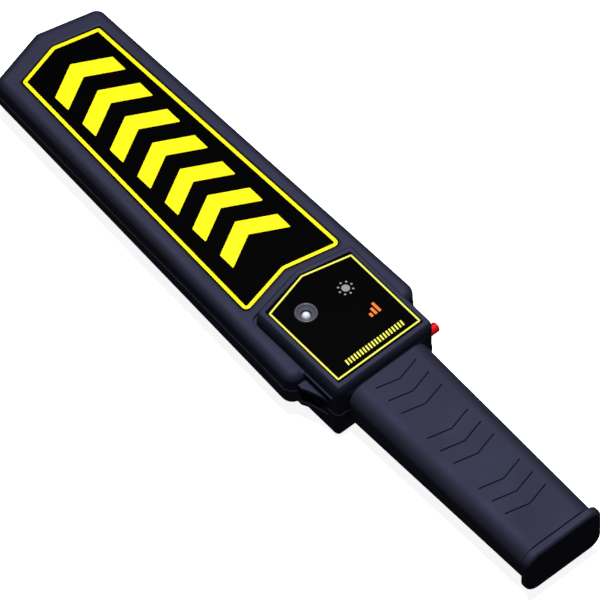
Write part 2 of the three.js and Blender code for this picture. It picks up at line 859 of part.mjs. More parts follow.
const outer = outerForm();
const hollow = innerHollow();
addPiece('upper_shell', upperShell(outer, hollow), finishes.shell);
addPiece('lower_shell', lowerShell(outer, hollow), finishes.shell);

// Grip sleeve with its chevron grooves
function gripSleeve() {
  const hollow = gripSolid(rearY, blockRearY + cutOver, gripWall);
  const sleeve = gripSolid(gripRearY, gripFrontY, 0).subtract(hollow);
  const grooves = chevronSlots.map((slot) => {
    const endY = gripFrontY - chevronStartGap - slot * chevronPitch;
    const topZ = THREE.MathUtils.mapLinear(endY, gripFrontY, gripRearY, gripFrontTop, gripRearTop);
    const line = [
      new THREE.Vector2(-chevronHalfWidth, endY),
      new THREE.Vector2(0, endY - chevronFall),
      new THREE.Vector2(chevronHalfWidth, endY),
      new THREE.Vector2(chevronHalfWidth, endY + chevronWidth),
      new THREE.Vector2(0, endY - chevronFall + chevronWidth),
      new THREE.Vector2(-chevronHalfWidth, endY + chevronWidth),
    ];
    return prism(line, topZ - chevronDepth, topZ + cutOver);
  });
  return sleeve.subtract(join(grooves));
}
addPiece('grip_sleeve', gripSleeve(), finishes.grip);

// Films
addPiece('head_label',
  prism(outline(headLabelCorners, seatGap),
    headTop - headLabelDepth, headTop - headLabelDepth + filmThickness),
  finishes.label);

function controlLabel() {
  const film = prism(outline(controlLabelCorners, seatGap), panelSeatZ, panelSeatZ + filmThickness);
  const bezelHole = post(lampX, lampY, bezelRadius + seatGap, panelSeatZ - cutOver, blockHeight);
  const port = post(sounderX, sounderY, portRadius, panelSeatZ - cutOver, blockHeight);
  const dots = [];
  for (let k = 0; k < dotCount; k++) {
    const angle = 4 * quarterTurn * k / dotCount;
    const x = sounderX + dotCircleRadius * Math.cos(angle);
    const y = sounderY + dotCircleRadius * Math.sin(angle);
    dots.push(post(x, y, dotRadius, panelSeatZ - cutOver, blockHeight));
  }
  return film.subtract(join([bezelHole, port, ...dots]));
}
addPiece('control_label', controlLabel(), finishes.label);

// Lamp: a bezel pushed into the panel and a round-headed lamp below its rim
function ledBezel() {
  const rimZ = blockHeight + bezelRise;
  const bore = lampRadius + lampBoreGap;
  return uprightTurned([
    [bore, lampBaseZ + seatGap],
    [bezelBarrelRadius, lampBaseZ + seatGap],
    [bezelBarrelRadius, panelSeatZ],
    [bezelRadius, panelSeatZ],
    [bezelRadius, rimZ - bezelRise / 2],
    [bezelRadius - bezelRise / 2, rimZ],
    [bezelRimRadius, rimZ],
    [bezelRimRadius - bezelRise / 2, rimZ - bezelFlange],
    [bore, rimZ - bezelFlange - bezelRise],
    [bore, lampBaseZ + seatGap],
  ], lampX, lampY, 2 * barSides);
}
addPiece('led_bezel', ledBezel(), finishes.rim);

function statusLamp() {
  const topZ = blockHeight - lampDrop;
  const domeZ = topZ - lampRadius;
  const profile = [[0, lampBaseZ - lampFlangeHeight], [lampFlangeRadius, lampBaseZ - lampFlangeHeight],
    [lampFlangeRadius, lampBaseZ], [lampRadius, lampBaseZ]];
  for (let k = 0; k < arcSteps; k++) {
    const angle = quarterTurn * k / arcSteps;
    profile.push([lampRadius * Math.cos(angle), domeZ + lampRadius * Math.sin(angle)]);
  }
  profile.push([0, topZ]);
  const legs = [-1, 1].map((side) => box(
    lampX + side * lampLegSpread - lampLegWidth / 2, lampX + side * lampLegSpread + lampLegWidth / 2,
    lampY - lampLegWidth / 2, lampY + lampLegWidth / 2,
    boardTopZ + solderGap, lampBaseZ - lampFlangeHeight / 2));
  return join([uprightTurned(profile, lampX, lampY), ...legs]);
}
addPiece('status_led', statusLamp(), finishes.lamp);

// Sounder on the board, and the mesh disc between it and the panel film
addPiece('sounder', uprightTurned([
  [0, boardTopZ + solderGap],
  [sounderRadius, boardTopZ + solderGap],
  [sounderRadius, boardTopZ + solderGap + sounderHeight],
  [sounderPortRadius, boardTopZ + solderGap + sounderHeight],
  [sounderPortRadius, boardTopZ + solderGap + sounderHeight - sounderPortDepth],
  [0, boardTopZ + solderGap + sounderHeight - sounderPortDepth],
], sounderX, sounderY), finishes.sounder);
addPiece('sounder_mesh',
  post(sounderX, sounderY, grilleRadius, panelSeatZ - grilleThickness, panelSeatZ), finishes.mesh);

// Circuit board, notched round the bosses, with its parts on it
function circuitBoard() {
  const plate = prism(outline(boardCorners), boardBottomZ, boardTopZ);
  const notches = caseScrews.map((screw) =>
    post(screw.x, screw.y, bossRadius + seatGap, boardBottomZ - cutOver, boardTopZ + cutOver));
  const holes = boardPillars.map((p) =>
    post(p.x, p.y, boardScrewRadius + seatGap, boardBottomZ - cutOver, boardTopZ + cutOver));
  return plate.subtract(join([...notches, ...holes]));
}
addPiece('circuit_board', circuitBoard(), finishes.board);

function boardPart(x, y, length, width, height) {
  return box(x - length / 2, x + length / 2, y - width / 2, y + width / 2,
    boardTopZ + solderGap, boardTopZ + solderGap + height);
}
addPiece('processor',
  boardPart(processorX, processorY, processorSide, processorSide, processorHeight), finishes.chip);
addPiece('amplifier_chip',
  boardPart(amplifierX, amplifierY, amplifierWidth, amplifierLength, amplifierHeight), finishes.chip);
addPiece('voltage_regulator',
  boardPart(regulatorX, regulatorY, regulatorLength, regulatorWidth, regulatorHeight), finishes.chip);
const trimmerTopZ = boardTopZ + solderGap + trimmerHeight;
addPiece('sensitivity_trimmer', boardPart(trimmerX, trimmerY, trimmerSide, trimmerSide, trimmerHeight)
  .subtract(post(trimmerX, trimmerY, trimmerDialRadius,
    trimmerTopZ - trimmerDialDepth, trimmerTopZ + cutOver)),
finishes.trimmer);
for (let k = 0; k < capacitorCount; k++) {
  addPiece(`capacitor_${k + 1}`, post(capacitorX, capacitorY - k * capacitorPitch, capacitorRadius,
    boardTopZ + solderGap, boardTopZ + solderGap + capacitorHeight), finishes.can);
}
[boardPillars[0], boardPillars[boardPillars.length - 1]].forEach((p, i) => {
  const faceZ = boardBottomZ - solderGap;
  addPiece(`board_screw_${i + 1}`, uprightTurned([
    [0, faceZ - boardScrewHeadHeight],
    [boardScrewHeadRadius, faceZ - boardScrewHeadHeight],
    [boardScrewHeadRadius, faceZ],
    [boardScrewRadius, faceZ],
    [boardScrewRadius, boardTopZ + boardScrewLength - boardThickness],
    [0, boardTopZ + boardScrewLength - boardThickness],
  ], p.x, p.y), finishes.steel);
});

// Search coil: former and windings follow the head's outline

const formerCorners = (() => {
  const frontX = halfWidthAt(tipY - tipSetback) - formerInset;
  const backX = halfWidthAt(formerRearY) - formerInset;
  return [
    { x: 0, y: tipY - formerInset, r: formerRadius },
    { x: -frontX, y: formerFrontY, r: formerRadius },
    { x: -backX, y: formerRearY, r: formerRadius },
    { x: backX, y: formerRearY, r: formerRadius },
    { x: frontX, y: formerFrontY, r: formerRadius },
  ];
})();

function ringSolid(outerInset, innerInset, bottomZ, topZ) {
  return prism(outline(formerCorners, outerInset), bottomZ, topZ)
    .subtract(prism(outline(formerCorners, innerInset), bottomZ - cutOver, topZ + cutOver));
}

function coilFormer() {
  const frame = ringSolid(0, formerWidth, formerBottomZ, formerTopZ);
  const grooves = [lowerWindingZ, upperWindingZ].map((z) => ringSolid(
    -cutOver, windingRecess + windingDepth + seatGap,
    z - windingHeight / 2 - seatGap, z + windingHeight / 2 + seatGap));
  return frame.subtract(join(grooves));
}
addPiece('coil_former', coilFormer(), finishes.former);
addPiece('transmit_winding', ringSolid(windingRecess, windingRecess + windingDepth,
  lowerWindingZ - windingHeight / 2, lowerWindingZ + windingHeight / 2), finishes.copper);
addPiece('receive_winding', ringSolid(windingRecess, windingRecess + windingDepth,
  upperWindingZ - windingHeight / 2, upperWindingZ + windingHeight / 2), finishes.copper);

// Slide switch and its knob
function slideSwitch() {
  const faceX = -blockInnerX + seatGap;
  const body = box(faceX, faceX + slideSwitchDepth, slideSwitchY - slideSwitchLength / 2,
    slideSwitchY + slideSwitchLength / 2,
    slideSwitchZ - slideSwitchHeight / 2, slideSwitchZ + slideSwitchHeight / 2);
  const halfSlot = knobStemLength / 2 + knobTravel + seatGap;
  const slot = box(faceX - cutOver, faceX + knobStemReach + seatGap,
    slideSwitchY - halfSlot, slideSwitchY + halfSlot,
    slideSwitchZ - knobStemHeight / 2 - seatGap, slideSwitchZ + knobStemHeight / 2 + seatGap);
  return body.subtract(slot);
}
addPiece('power_switch', slideSwitch(), finishes.chip);

function switchKnob() {
  const faceX = -blockOuterX - knobStand;
  const rearEdge = slideSwitchY - knobLength / 2;
  const lowEdge = slideSwitchZ - knobHeight / 2;
  const body = box(faceX, -blockInnerX, rearEdge, rearEdge + knobLength, lowEdge, lowEdge + knobHeight);
  const stem = box(-blockInnerX - seatGap, -blockInnerX + seatGap + knobStemReach,
    slideSwitchY - knobStemLength / 2, slideSwitchY + knobStemLength / 2,
    slideSwitchZ - knobStemHeight / 2, slideSwitchZ + knobStemHeight / 2);
  const grooves = [];
  for (let k = 1; k <= knobRibs; k++) {
    const y = rearEdge + knobLength * k / (knobRibs + 1);
    grooves.push(box(faceX - cutOver, faceX + knobRibDepth, y - knobRibDepth / 2, y + knobRibDepth / 2,
      lowEdge - cutOver, lowEdge + knobHeight + cutOver));
  }
  return join([body, stem]).subtract(join(grooves));
}
addPiece('switch_knob', switchKnob(), finishes.knob);

// Push button, and the small switch that it presses
function pushButton() {
  const flangeEndX = blockInnerX - seatGap;
  const flangeStartX = flangeEndX - buttonFlangeThickness;
  const stemEndX = flangeStartX - buttonStemLength;
  const profile = [[0, stemEndX], [buttonStemRadius, stemEndX], [buttonStemRadius, flangeStartX],
    [buttonFlangeRadius, flangeStartX], [buttonFlangeRadius, flangeEndX], [buttonRadius, flangeEndX]];
  for (let k = 0; k <= roundSteps; k++) {
    const angle = quarterTurn * k / roundSteps;
    profile.push([
      buttonRadius - buttonRound * (1 - Math.cos(angle)),
      buttonEndX - buttonRound * (1 - Math.sin(angle)),
    ]);
  }
  profile.push([0, buttonEndX]);
  return acrossTurned(profile, buttonY, buttonZ);
}
addPiece('push_button', pushButton(), finishes.button);

function buttonSwitch() {
  const half = tactSide / 2;
  const body = box(tactBackX, tactFaceX, buttonY - half, buttonY + half, buttonZ - half, buttonZ + half);
  const deepestX = blockInnerX - seatGap - buttonFlangeThickness - buttonStemLength - buttonTravel;
  return body.subtract(
    acrossBar(buttonY, buttonZ, buttonStemRadius + seatGap, deepestX - seatGap, tactFaceX + cutOver));
}
addPiece('button_switch', buttonSwitch(), finishes.chip);

// Vibration motor and the off-centre weight on its shaft
const motorEndX = motorX + motorLength / 2;
const shaftStartX = motorEndX - motorShaftLength / 2;

addPiece('vibration_motor', acrossBar(motorY, motorZ, motorRadius, motorX - motorLength / 2, motorEndX)
  .subtract(acrossBar(motorY, motorZ, motorShaftRadius + seatGap,
    shaftStartX - seatGap, motorEndX + cutOver)),
finishes.can);

function motorWeight() {
  const faceX = motorEndX + seatGap;
  const endX = faceX + weightLength;
  const half = box(faceX, endX,
    motorY - weightRadius, motorY + weightRadius, motorZ - weightRadius, motorZ);
  const lobe = acrossBar(motorY, motorZ, weightRadius, faceX, endX).intersect(half);
  const hub = acrossBar(motorY, motorZ, weightHubRadius, faceX, endX);
  const shaft = acrossBar(motorY, motorZ, motorShaftRadius, shaftStartX, endX + seatGap);
  return join([lobe, hub, shaft]);
}
addPiece('motor_weight', motorWeight(), finishes.steel);

// Battery with its two terminals
const batteryFloorZ = cavityCentreZ - batteryThickness / 2;
const wireStartZ = cavityCentreZ + wireRise;
const wireLowZ = cavityCentreZ + wireLowRise;
const coilCableZ = headTop - coilCableDrop;
const terminals = [
  { name: 'positive', x: -terminalSpread, radius: positiveRadius },
  { name: 'negative', x: terminalSpread, radius: negativeRadius },
];

function battery() {
  const section = rectangle(batteryWidth / 2,
    batteryFloorZ, batteryFloorZ + batteryThickness, batteryRound);
  const body = alongPrism(outline(section), batteryRearY, batteryShoulderY);
  const studs = terminals.map((t) => alongTurned([
    [0, batteryShoulderY - terminalLength],
    [t.radius, batteryShoulderY - terminalLength],
    [t.radius, batteryFrontY],
    [0, batteryFrontY],
  ], t.x, cavityCentreZ));
  return join([body, ...studs]);
}
addPiece('battery', battery(), finishes.battery);

// Contact board with a ring contact round each terminal
const contactHalfWidth = batteryWidth / 2 + batteryClearance - seatGap;
addPiece('contact_board', box(-contactHalfWidth, contactHalfWidth, contactFaceY, contactBackY,
  cavityFloor + seatGap, cavityFloor + 2 * cavityHalfHeight - seatGap), finishes.board);
for (const t of terminals) {
  const bore = t.radius + seatGap;
  const startY = contactFaceY - terminalLength + seatGap;
  addPiece(`contact_${t.name}`, alongTurned([
    [bore, startY],
    [bore + contactWall, startY],
    [bore + contactWall, contactFaceY],
    [bore, contactFaceY],
    [bore, startY],
  ], t.x, cavityCentreZ), finishes.steel);
}

// End cap with the plug that fits the tails, its gasket and its foam pad
const flangeY = rearY + capThickness;
const cavityTop = cavityFloor + 2 * cavityHalfHeight;
const cavitySection = rectangle(cavityHalfWidth, cavityFloor, cavityTop, cavityRadius);

function endCap() {
  const corners = rectangle(capHalfWidth, capBottom, capTop, capRadius);
  const ring = (y, inset) => outline(corners, inset).map((p) => new THREE.Vector3(p.x, y, p.y));
  const rings = [ring(flangeY, 0)];
  for (let k = 0; k <= roundSteps; k++) {
    const angle = quarterTurn * k / roundSteps;
    rings.push(ring(rearY + capRound * (1 - Math.sin(angle)), capRound * (1 - Math.cos(angle))));
  }
  const plug = alongPrism(outline(cavitySection, seatGap), flangeY - capRound / 2, flangeY + plugDepth);
  return join([solidFrom(loft(rings)), plug]);
}
addPiece('end_cap', endCap(), finishes.shell);

const gasketY = flangeY + seatGap;
const gripRearSection = rectangle(gripRearHalfWidth, gripRearBottom, gripRearTop, gripRearRadius);
addPiece('cap_gasket', alongPrism(outline(gripRearSection, gasketInset), gasketY, gasketY + gasketThickness)
  .subtract(alongPrism(outline(cavitySection), gasketY - cutOver, gasketY + gasketThickness + cutOver)),
finishes.gasket);

const padY = flangeY + plugDepth + seatGap;
addPiece('battery_pad', alongPrism(
  outline(rectangle(batteryWidth / 2, batteryFloorZ, batteryFloorZ + batteryThickness, batteryRound)),
  padY, padY + padThickness), finishes.pad);

// Wires: six-sided tubes along smooth routes
function wire(points) {
  const section = [];
  for (let k = 0; k < wireSides; k++) {
    const angle = 4 * quarterTurn * k / wireSides;
    section.push(new THREE.Vector2(wireRadius * Math.cos(angle), wireRadius * Math.sin(angle)));
  }
  const route = new THREE.CatmullRomCurve3(points.map((p) => new THREE.Vector3(...p)));
  const settings = { steps: wireSteps, extrudePath: route };
  return solidFrom(new THREE.ExtrudeGeometry(new THREE.Shape(section), settings));
}

function batteryWire(side) {
  const x = side * wireSpread;
  return wire([
    [side * terminalSpread, contactBackY + seatGap, wireStartZ],
    [side * terminalSpread, contactBackY + seatGap + wireTurn, wireStartZ],
    [x, (contactBackY + blockRearY) / 2, wireLowZ],
    [x, blockRearY, wireLowZ],
    [x, wireEndY - wireTurn, wireStartZ],
    [x, wireEndY, boardBottomZ - wireTurn / 2],
    [x, wireEndY, boardBottomZ - seatGap],
  ]);
}
addPiece('battery_wire_positive', batteryWire(-1), finishes.redWire);
addPiece('battery_wire_negative', batteryWire(1), finishes.blackWire);
addPiece('coil_cable', wire([
  [coilCableX, formerRearY - seatGap, coilCableZ],
  [coilCableX, formerRearY - seatGap - wireTurn, coilCableZ],
  [coilCableX, coilCableEndY + 2 * wireTurn, coilCableZ],
  [coilCableX, coilCableEndY + wireTurn / 2, coilCableZ + wireTurn / 2],
  [coilCableX, coilCableEndY, boardBottomZ - wireTurn / 2],
  [coilCableX, coilCableEndY, boardBottomZ - seatGap],
]), finishes.blackWire);

// Case screws, driven from below with a cross recess in each head
function caseScrew(screw) {
  const seatZ = screw.seatZ - seatGap;
  const faceZ = seatZ - screwHeadHeight;
  const tipZ = seatZ + screw.length;
  const body = uprightTurned([
    [0, faceZ],
    [screwHeadRadius - screwHeadHeight / 2, faceZ],
    [screwHeadRadius, faceZ + screwHeadHeight / 2],
    [screwHeadRadius, seatZ],
    [screwShankRadius, seatZ],
    [screwShankRadius, tipZ - screwPoint],
    [0, tipZ],
  ], screw.x, screw.y);
  const long = driveSlotLength / 2;
  const short = driveSlotWidth / 2;
  const topZ = faceZ + driveSlotDepth;
  const cross = join([
    box(screw.x - long, screw.x + long, screw.y - short, screw.y + short, faceZ - cutOver, topZ),
    box(screw.x - short, screw.x + short, screw.y - long, screw.y + long, faceZ - cutOver, topZ),
  ]);
  return body.subtract(cross);
}
caseScrews.forEach((screw, i) => addPiece(`case_screw_${i + 1}`, caseScrew(screw), finishes.steel));

export default wand;
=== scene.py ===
# %% [markdown]
# This lesson dresses a hand-held metal detector wand. The wand's construction is already made:
# it is loaded as a frame of solids in metres, and nothing here moves or resizes them. A scene
# could start from nothing, but these solids are made to fit and to move, so each new piece
# is fitted over them. First comes the frame itself.

# %% Load the frame
import json
import math

import bpy
from mathutils import Matrix, Vector


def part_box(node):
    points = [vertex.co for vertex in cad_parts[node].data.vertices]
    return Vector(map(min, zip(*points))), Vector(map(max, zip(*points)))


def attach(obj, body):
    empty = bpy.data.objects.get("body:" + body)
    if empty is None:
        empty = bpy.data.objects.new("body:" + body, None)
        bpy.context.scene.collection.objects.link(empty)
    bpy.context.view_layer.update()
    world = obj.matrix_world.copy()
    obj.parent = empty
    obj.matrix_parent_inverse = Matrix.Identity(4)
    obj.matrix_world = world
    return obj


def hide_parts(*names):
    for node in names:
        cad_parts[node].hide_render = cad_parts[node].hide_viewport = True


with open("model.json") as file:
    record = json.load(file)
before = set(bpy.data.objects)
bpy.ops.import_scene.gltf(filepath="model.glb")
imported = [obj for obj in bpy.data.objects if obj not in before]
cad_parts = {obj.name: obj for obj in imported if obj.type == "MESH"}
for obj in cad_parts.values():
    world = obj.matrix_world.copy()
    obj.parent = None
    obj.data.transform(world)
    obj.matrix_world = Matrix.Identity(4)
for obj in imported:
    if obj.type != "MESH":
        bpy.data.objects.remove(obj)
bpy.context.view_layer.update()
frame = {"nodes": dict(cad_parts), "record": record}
bpy.ops.object.select_all(action="DESELECT")
print("solids loaded:", len(frame["nodes"]))

# %% [markdown]
# Sizes below are thought of in millimetres, as on a drawing, and colours as the hex values that
# a colour picker shows. Small functions turn colours into linear light, and give the corners
# and the middle of a solid's box in millimetres.

# %% Units and colours
MM = 0.001


def linear(hex_colour):
    """Turns an sRGB hex colour into linear red, green, blue and alpha."""
    channels = [int(hex_colour[i:i + 2], 16) / 255 for i in (1, 3, 5)]
    bent = [c / 12.92 if c <= 0.04045 else ((c + 0.055) / 1.055) ** 2.4 for c in channels]
    return (*bent, 1.0)


def box_mm(node):
    """The lowest and the highest corner of a solid's box, in millimetres."""
    return [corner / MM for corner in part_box(node)]


def middle_mm(node):
    """The middle of a solid's box, in millimetres."""
    return [(low + high) / 2 for low, high in zip(*box_mm(node))]


print("dark plastic in linear light:", [round(c, 3) for c in linear("#191923")])
print("the paddle's film reaches up to", round(box_mm("head_label")[1].z, 2), "mm")

# %% [markdown]
# The reference shows the wand from above its left rear, with parallel lines staying parallel.
# An orthographic camera would draw that too, but a very long lens far away gives the same look
# and still behaves as a normal camera in other views. It aims at the middle of the wand's
# height, and 307 mm of width fill the picture.

# %% Camera
AZIMUTH = math.radians(-41.0)
ELEVATION = math.radians(56.2)
VIEW_WIDTH = 307.2 * MM
LENS = 1200.0
SENSOR = 36.0
CLIP_NEAR = 1.0
CLIP_FAR = 60.0
AIM = Vector((0, -1.6 * MM, 21.6 * MM))

back = Vector((
    math.sin(AZIMUTH) * math.cos(ELEVATION),
    -math.cos(AZIMUTH) * math.cos(ELEVATION),
    math.sin(ELEVATION),
))
distance = VIEW_WIDTH * LENS / SENSOR
bpy.ops.object.camera_add(location=AIM + back * distance)
camera = bpy.context.object
camera.name = "camera"
camera.rotation_euler = (-back).to_track_quat("-Z", "Y").to_euler()
camera.data.lens = LENS
camera.data.sensor_width = SENSOR
camera.data.clip_start = CLIP_NEAR
camera.data.clip_end = CLIP_FAR
bpy.context.scene.camera = camera
bpy.context.scene.view_settings.view_transform = "Standard"
print("camera stands off by", round(distance, 2), "m")

# %% [markdown]
# Every material is a small graph of shader nodes. One function adds a node, sets its
# properties, and fills or links its inputs, so each material reads as a short list.

# %% Adding a shader node


def add(tree, kind, inputs=None, **settings):
    """Adds one shader node. An input is given a value, or a socket to link from."""
    made = tree.nodes.new("ShaderNode" + kind)
    for name, value in settings.items():
        setattr(made, name, value)
    for name, value in (inputs or {}).items():
        if isinstance(value, bpy.types.NodeSocket):
            tree.links.new(value, made.inputs[name])
        else:
            made.inputs[name].default_value = value
    return made


def new_material(name):
    """An empty material, its node tree, the Object coordinates and the output's surface."""
    material = bpy.data.materials.new(name)
    material.use_nodes = True
    tree = material.node_tree
    tree.nodes.clear()
    place = add(tree, "TexCoord").outputs["Object"]
    output = add(tree, "OutputMaterial")
    return material, tree, place, output.inputs["Surface"]


def per_metre(size_mm):
    """The texture scale that gives a pattern of this size."""
    return 1 / (size_mm * MM)


print("a 0.5 mm grain needs a scale of", per_metre(0.5))

# %% [markdown]
# Moulded ABS comes out of a spark-eroded tool with a fine, even grain. The eye sees a soft
# sheen that breaks up slightly, and tiny differences of tone where hands have rubbed it.
# The grain of the real part is about 0.1 mm, which is too fine to show, so it is drawn some
# four times as coarse. A broad noise shifts the tone and the gloss by a few hundredths.
# The dark pigment takes in most of the light. What comes back from the housing is mainly its
# rough surface gloss, with a blue cast: faces that look up are slate blue, and roundings fall
# away into black sooner than a plain matt colour would.

# %% Moulded plastics
MARKS_MM = 28.0
GLOSS_SHIFT = 0.05


def moulded_plastic(name, colour, roughness, grain_mm, grain_depth_mm, tone=0.08,
                    specular=0.5, tint="#ffffff"):
    """A moulded thermoplastic with a spark-eroded grain and faint handling marks."""
    material, tree, place, surface = new_material(name)
    grain = add(tree, "TexNoise", {"Vector": place, "Scale": per_metre(grain_mm), "Detail": 2.0})
    bump = add(tree, "Bump", {"Height": grain.outputs["Fac"], "Strength": 0.6,
                              "Distance": grain_depth_mm * MM})
    marks = add(tree, "TexNoise", {"Vector": place, "Scale": per_metre(MARKS_MM), "Detail": 4.0,
                                   "Roughness": 0.6})
    reach = {"Value": marks.outputs["Fac"], "From Min": 0.3, "From Max": 0.7}
    gloss = add(tree, "MapRange", {**reach, "To Min": roughness - GLOSS_SHIFT,
                                   "To Max": roughness + GLOSS_SHIFT})
    light = add(tree, "MapRange", {**reach, "To Min": 1 - tone, "To Max": 1 + tone})
    shade = add(tree, "HueSaturation", {"Color": linear(colour), "Value": light.outputs["Result"]})
    plastic = add(tree, "BsdfPrincipled", {
        "Base Color": shade.outputs["Color"], "Roughness": gloss.outputs["Result"],
        "IOR": 1.53, "Specular IOR Level": specular, "Specular Tint": linear(tint),
        "Normal": bump.outputs["Normal"]})
    tree.links.new(plastic.outputs["BSDF"], surface)
    return material


HOUSING = {"specular": 0.84, "tint": "#bfc4ff"}
shell_plastic = moulded_plastic("spark_textured_abs", "#191923", 0.72, 0.45, 0.02, **HOUSING)
grip_plastic = moulded_plastic("matt_abs_grip", "#191923", 0.75, 0.5, 0.02, **HOUSING)
knob_plastic = moulded_plastic("black_acetal", "#141417", 0.42, 0.4, 0.01)
case_plastic = moulded_plastic("black_moulding_compound", "#1b1b1e", 0.55, 0.3, 0.01)
former_plastic = moulded_plastic("natural_polystyrene", "#cfccc2", 0.5, 0.6, 0.02)
trimmer_plastic = moulded_plastic("blue_pbt", "#2c5fa8", 0.45, 0.4, 0.01)
board_laminate = moulded_plastic("green_solder_mask", "#1c5a34", 0.35, 0.8, 0.01, 0.12)
gasket_rubber = moulded_plastic("black_nitrile_rubber", "#101012", 0.8, 0.35, 0.02)
foam_rubber = moulded_plastic("closed_cell_foam", "#2a2a2c", 0.95, 0.6, 0.2)
red_insulation = moulded_plastic("red_pvc", "#b3131a", 0.45, 0.8, 0.01)
black_insulation = moulded_plastic("black_pvc", "#131314", 0.45, 0.8, 0.01)
rim_plastic = moulded_plastic("grey_bezel_abs", "#54545f", 0.3, 0.4, 0.005)
button_plastic = moulded_plastic("red_button_abs", "#e30a14", 0.28, 0.5, 0.004)
print("materials so far:", len(bpy.data.materials))

# %% [markdown]
# The labels are polyester film, printed on the face. The black ground is a deep satin that keeps
# its black even under the lamp, and the screen-printed yellow ink is opaque, a little rougher,
# with a barely uneven coat. One function serves film and ink, because the eye sees both as a
# thin, flat coat.

# %% Printed film and inks


def screen_ink(name, colour, roughness=0.45, specular=0.3):
    """Opaque screen-printed ink, a little uneven in its coat."""
    material, tree, place, surface = new_material(name)
    coat = add(tree, "TexNoise", {"Vector": place, "Scale": per_metre(1.2), "Detail": 3.0})
    bump = add(tree, "Bump", {"Height": coat.outputs["Fac"], "Strength": 0.2,
                              "Distance": 0.01 * MM})
    light = add(tree, "MapRange", {"Value": coat.outputs["Fac"], "To Min": 0.96, "To Max": 1.04})
    shade = add(tree, "HueSaturation", {"Color": linear(colour), "Value": light.outputs["Result"]})
    ink = add(tree, "BsdfPrincipled", {
        "Base Color": shade.outputs["Color"], "Roughness": roughness, "IOR": 1.48,
        "Specular IOR Level": specular, "Normal": bump.outputs["Normal"]})
    tree.links.new(ink.outputs["BSDF"], surface)
    return material


black_film = screen_ink("black_polyester_film", "#010102", 0.38, 0.035)
yellow_ink = screen_ink("yellow_screen_ink", "#fff500")
pale_yellow_ink = screen_ink("pale_yellow_screen_ink", "#f2f25a")
orange_ink = screen_ink("orange_screen_ink", "#f08030")
print("materials so far:", len(bpy.data.materials))

# %% [markdown]
# Metals keep Blender's own IOR and are fully metallic. Brushing or drawing leaves lines in one
# direction, so the noise is stretched along the piece before it tilts the surface.

# %% Metals


def drawn_metal(name, colour, roughness, line_mm, stretch=12.0):
    """A metal with fine lines from drawing, plating or winding."""
    material, tree, place, surface = new_material(name)
    along = add(tree, "Mapping", {"Vector": place, "Scale": (1.0, 1.0 / stretch, 1.0)})
    lines = add(tree, "TexNoise", {"Vector": along.outputs["Vector"], "Scale": per_metre(line_mm),
                                   "Detail": 2.0})
    bump = add(tree, "Bump", {"Height": lines.outputs["Fac"], "Strength": 0.4,
                              "Distance": 0.01 * MM})
    gloss = add(tree, "MapRange", {"Value": lines.outputs["Fac"], "To Min": roughness - 0.06,
                                   "To Max": roughness + 0.06})
    metal = add(tree, "BsdfPrincipled", {
        "Base Color": linear(colour), "Metallic": 1.0, "Roughness": gloss.outputs["Result"],
        "Normal": bump.outputs["Normal"]})
    tree.links.new(metal.outputs["BSDF"], surface)
    return material


zinc_steel = drawn_metal("zinc_plated_steel", "#b9bcc0", 0.32, 0.4)
drawn_can = drawn_metal("drawn_aluminium", "#c4c6ca", 0.28, 0.5)
copper_winding = drawn_metal("enamelled_copper", "#b4692e", 0.35, 0.35, 40.0)
battery_jacket = drawn_metal("painted_steel_jacket", "#3a3f47", 0.4, 0.6)
print("materials so far:", len(bpy.data.materials))

# %% [markdown]
# The lamp is water-white epoxy over a bright chip. From outside it reads as a milky dome that is
# brightest in the middle, so a soft glow fades from the chip's axis towards the rim. Clear epoxy
# over a modelled chip would be truer inside, but at this size the eye sees only the glow.

# %% Lamp epoxy
GLOW_REACH = 2.4


def lamp_epoxy():
    """Water-white epoxy that glows softly round the lamp's axis."""
    material, tree, place, surface = new_material("water_white_epoxy")
    low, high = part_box("status_led")
    middle = (low + high) / 2
    centred = add(tree, "VectorMath", {0: place, 1: (middle.x, middle.y, 0.0)},
                  operation="SUBTRACT")
    flat = add(tree, "VectorMath", {0: centred.outputs["Vector"], 1: (1.0, 1.0, 0.0)},
               operation="MULTIPLY")
    reach = add(tree, "VectorMath", {0: flat.outputs["Vector"]}, operation="LENGTH")
    fade = add(tree, "MapRange", {"Value": reach.outputs["Value"], "From Min": 0.0,
                                  "From Max": GLOW_REACH * MM, "To Min": 0.9, "To Max": 0.02})
    epoxy = add(tree, "BsdfPrincipled", {
        "Base Color": linear("#aab0b8"), "Roughness": 0.12, "IOR": 1.54,
        "Emission Color": linear("#dfe8ff"), "Emission Strength": fade.outputs["Result"]})
    tree.links.new(epoxy.outputs["BSDF"], surface)
    return material


lamp_material = lamp_epoxy()
print("lamp nodes:", len(lamp_material.node_tree.nodes))

# %% [markdown]
# The disc below the sound holes is a grey woven mesh that keeps dust out. Its threads could be
# modelled one by one, but they are finer than a pixel, so two crossed waves draw them.

# %% Woven mesh
THREAD_MM = 0.4


def woven_mesh():
    """Grey woven dust mesh."""
    material, tree, place, surface = new_material("grey_woven_mesh")
    thread = per_metre(THREAD_MM) / (2 * math.pi)
    across = add(tree, "TexWave", {"Vector": place, "Scale": thread}, bands_direction="X")
    along = add(tree, "TexWave", {"Vector": place, "Scale": thread}, bands_direction="Y")
    weave = add(tree, "Math", {0: across.outputs["Fac"], 1: along.outputs["Fac"]},
                operation="MULTIPLY")
    bump = add(tree, "Bump", {"Height": weave.outputs["Value"], "Strength": 0.5,
                              "Distance": 0.05 * MM})
    light = add(tree, "MapRange", {"Value": weave.outputs["Value"], "To Min": 0.85, "To Max": 1.1})
    shade = add(tree, "HueSaturation", {"Color": linear("#9a9a9e"),
                                        "Value": light.outputs["Result"]})
    cloth = add(tree, "BsdfPrincipled", {
        "Base Color": shade.outputs["Color"], "Roughness": 0.8, "Normal": bump.outputs["Normal"]})
    tree.links.new(cloth.outputs["BSDF"], surface)
    return material


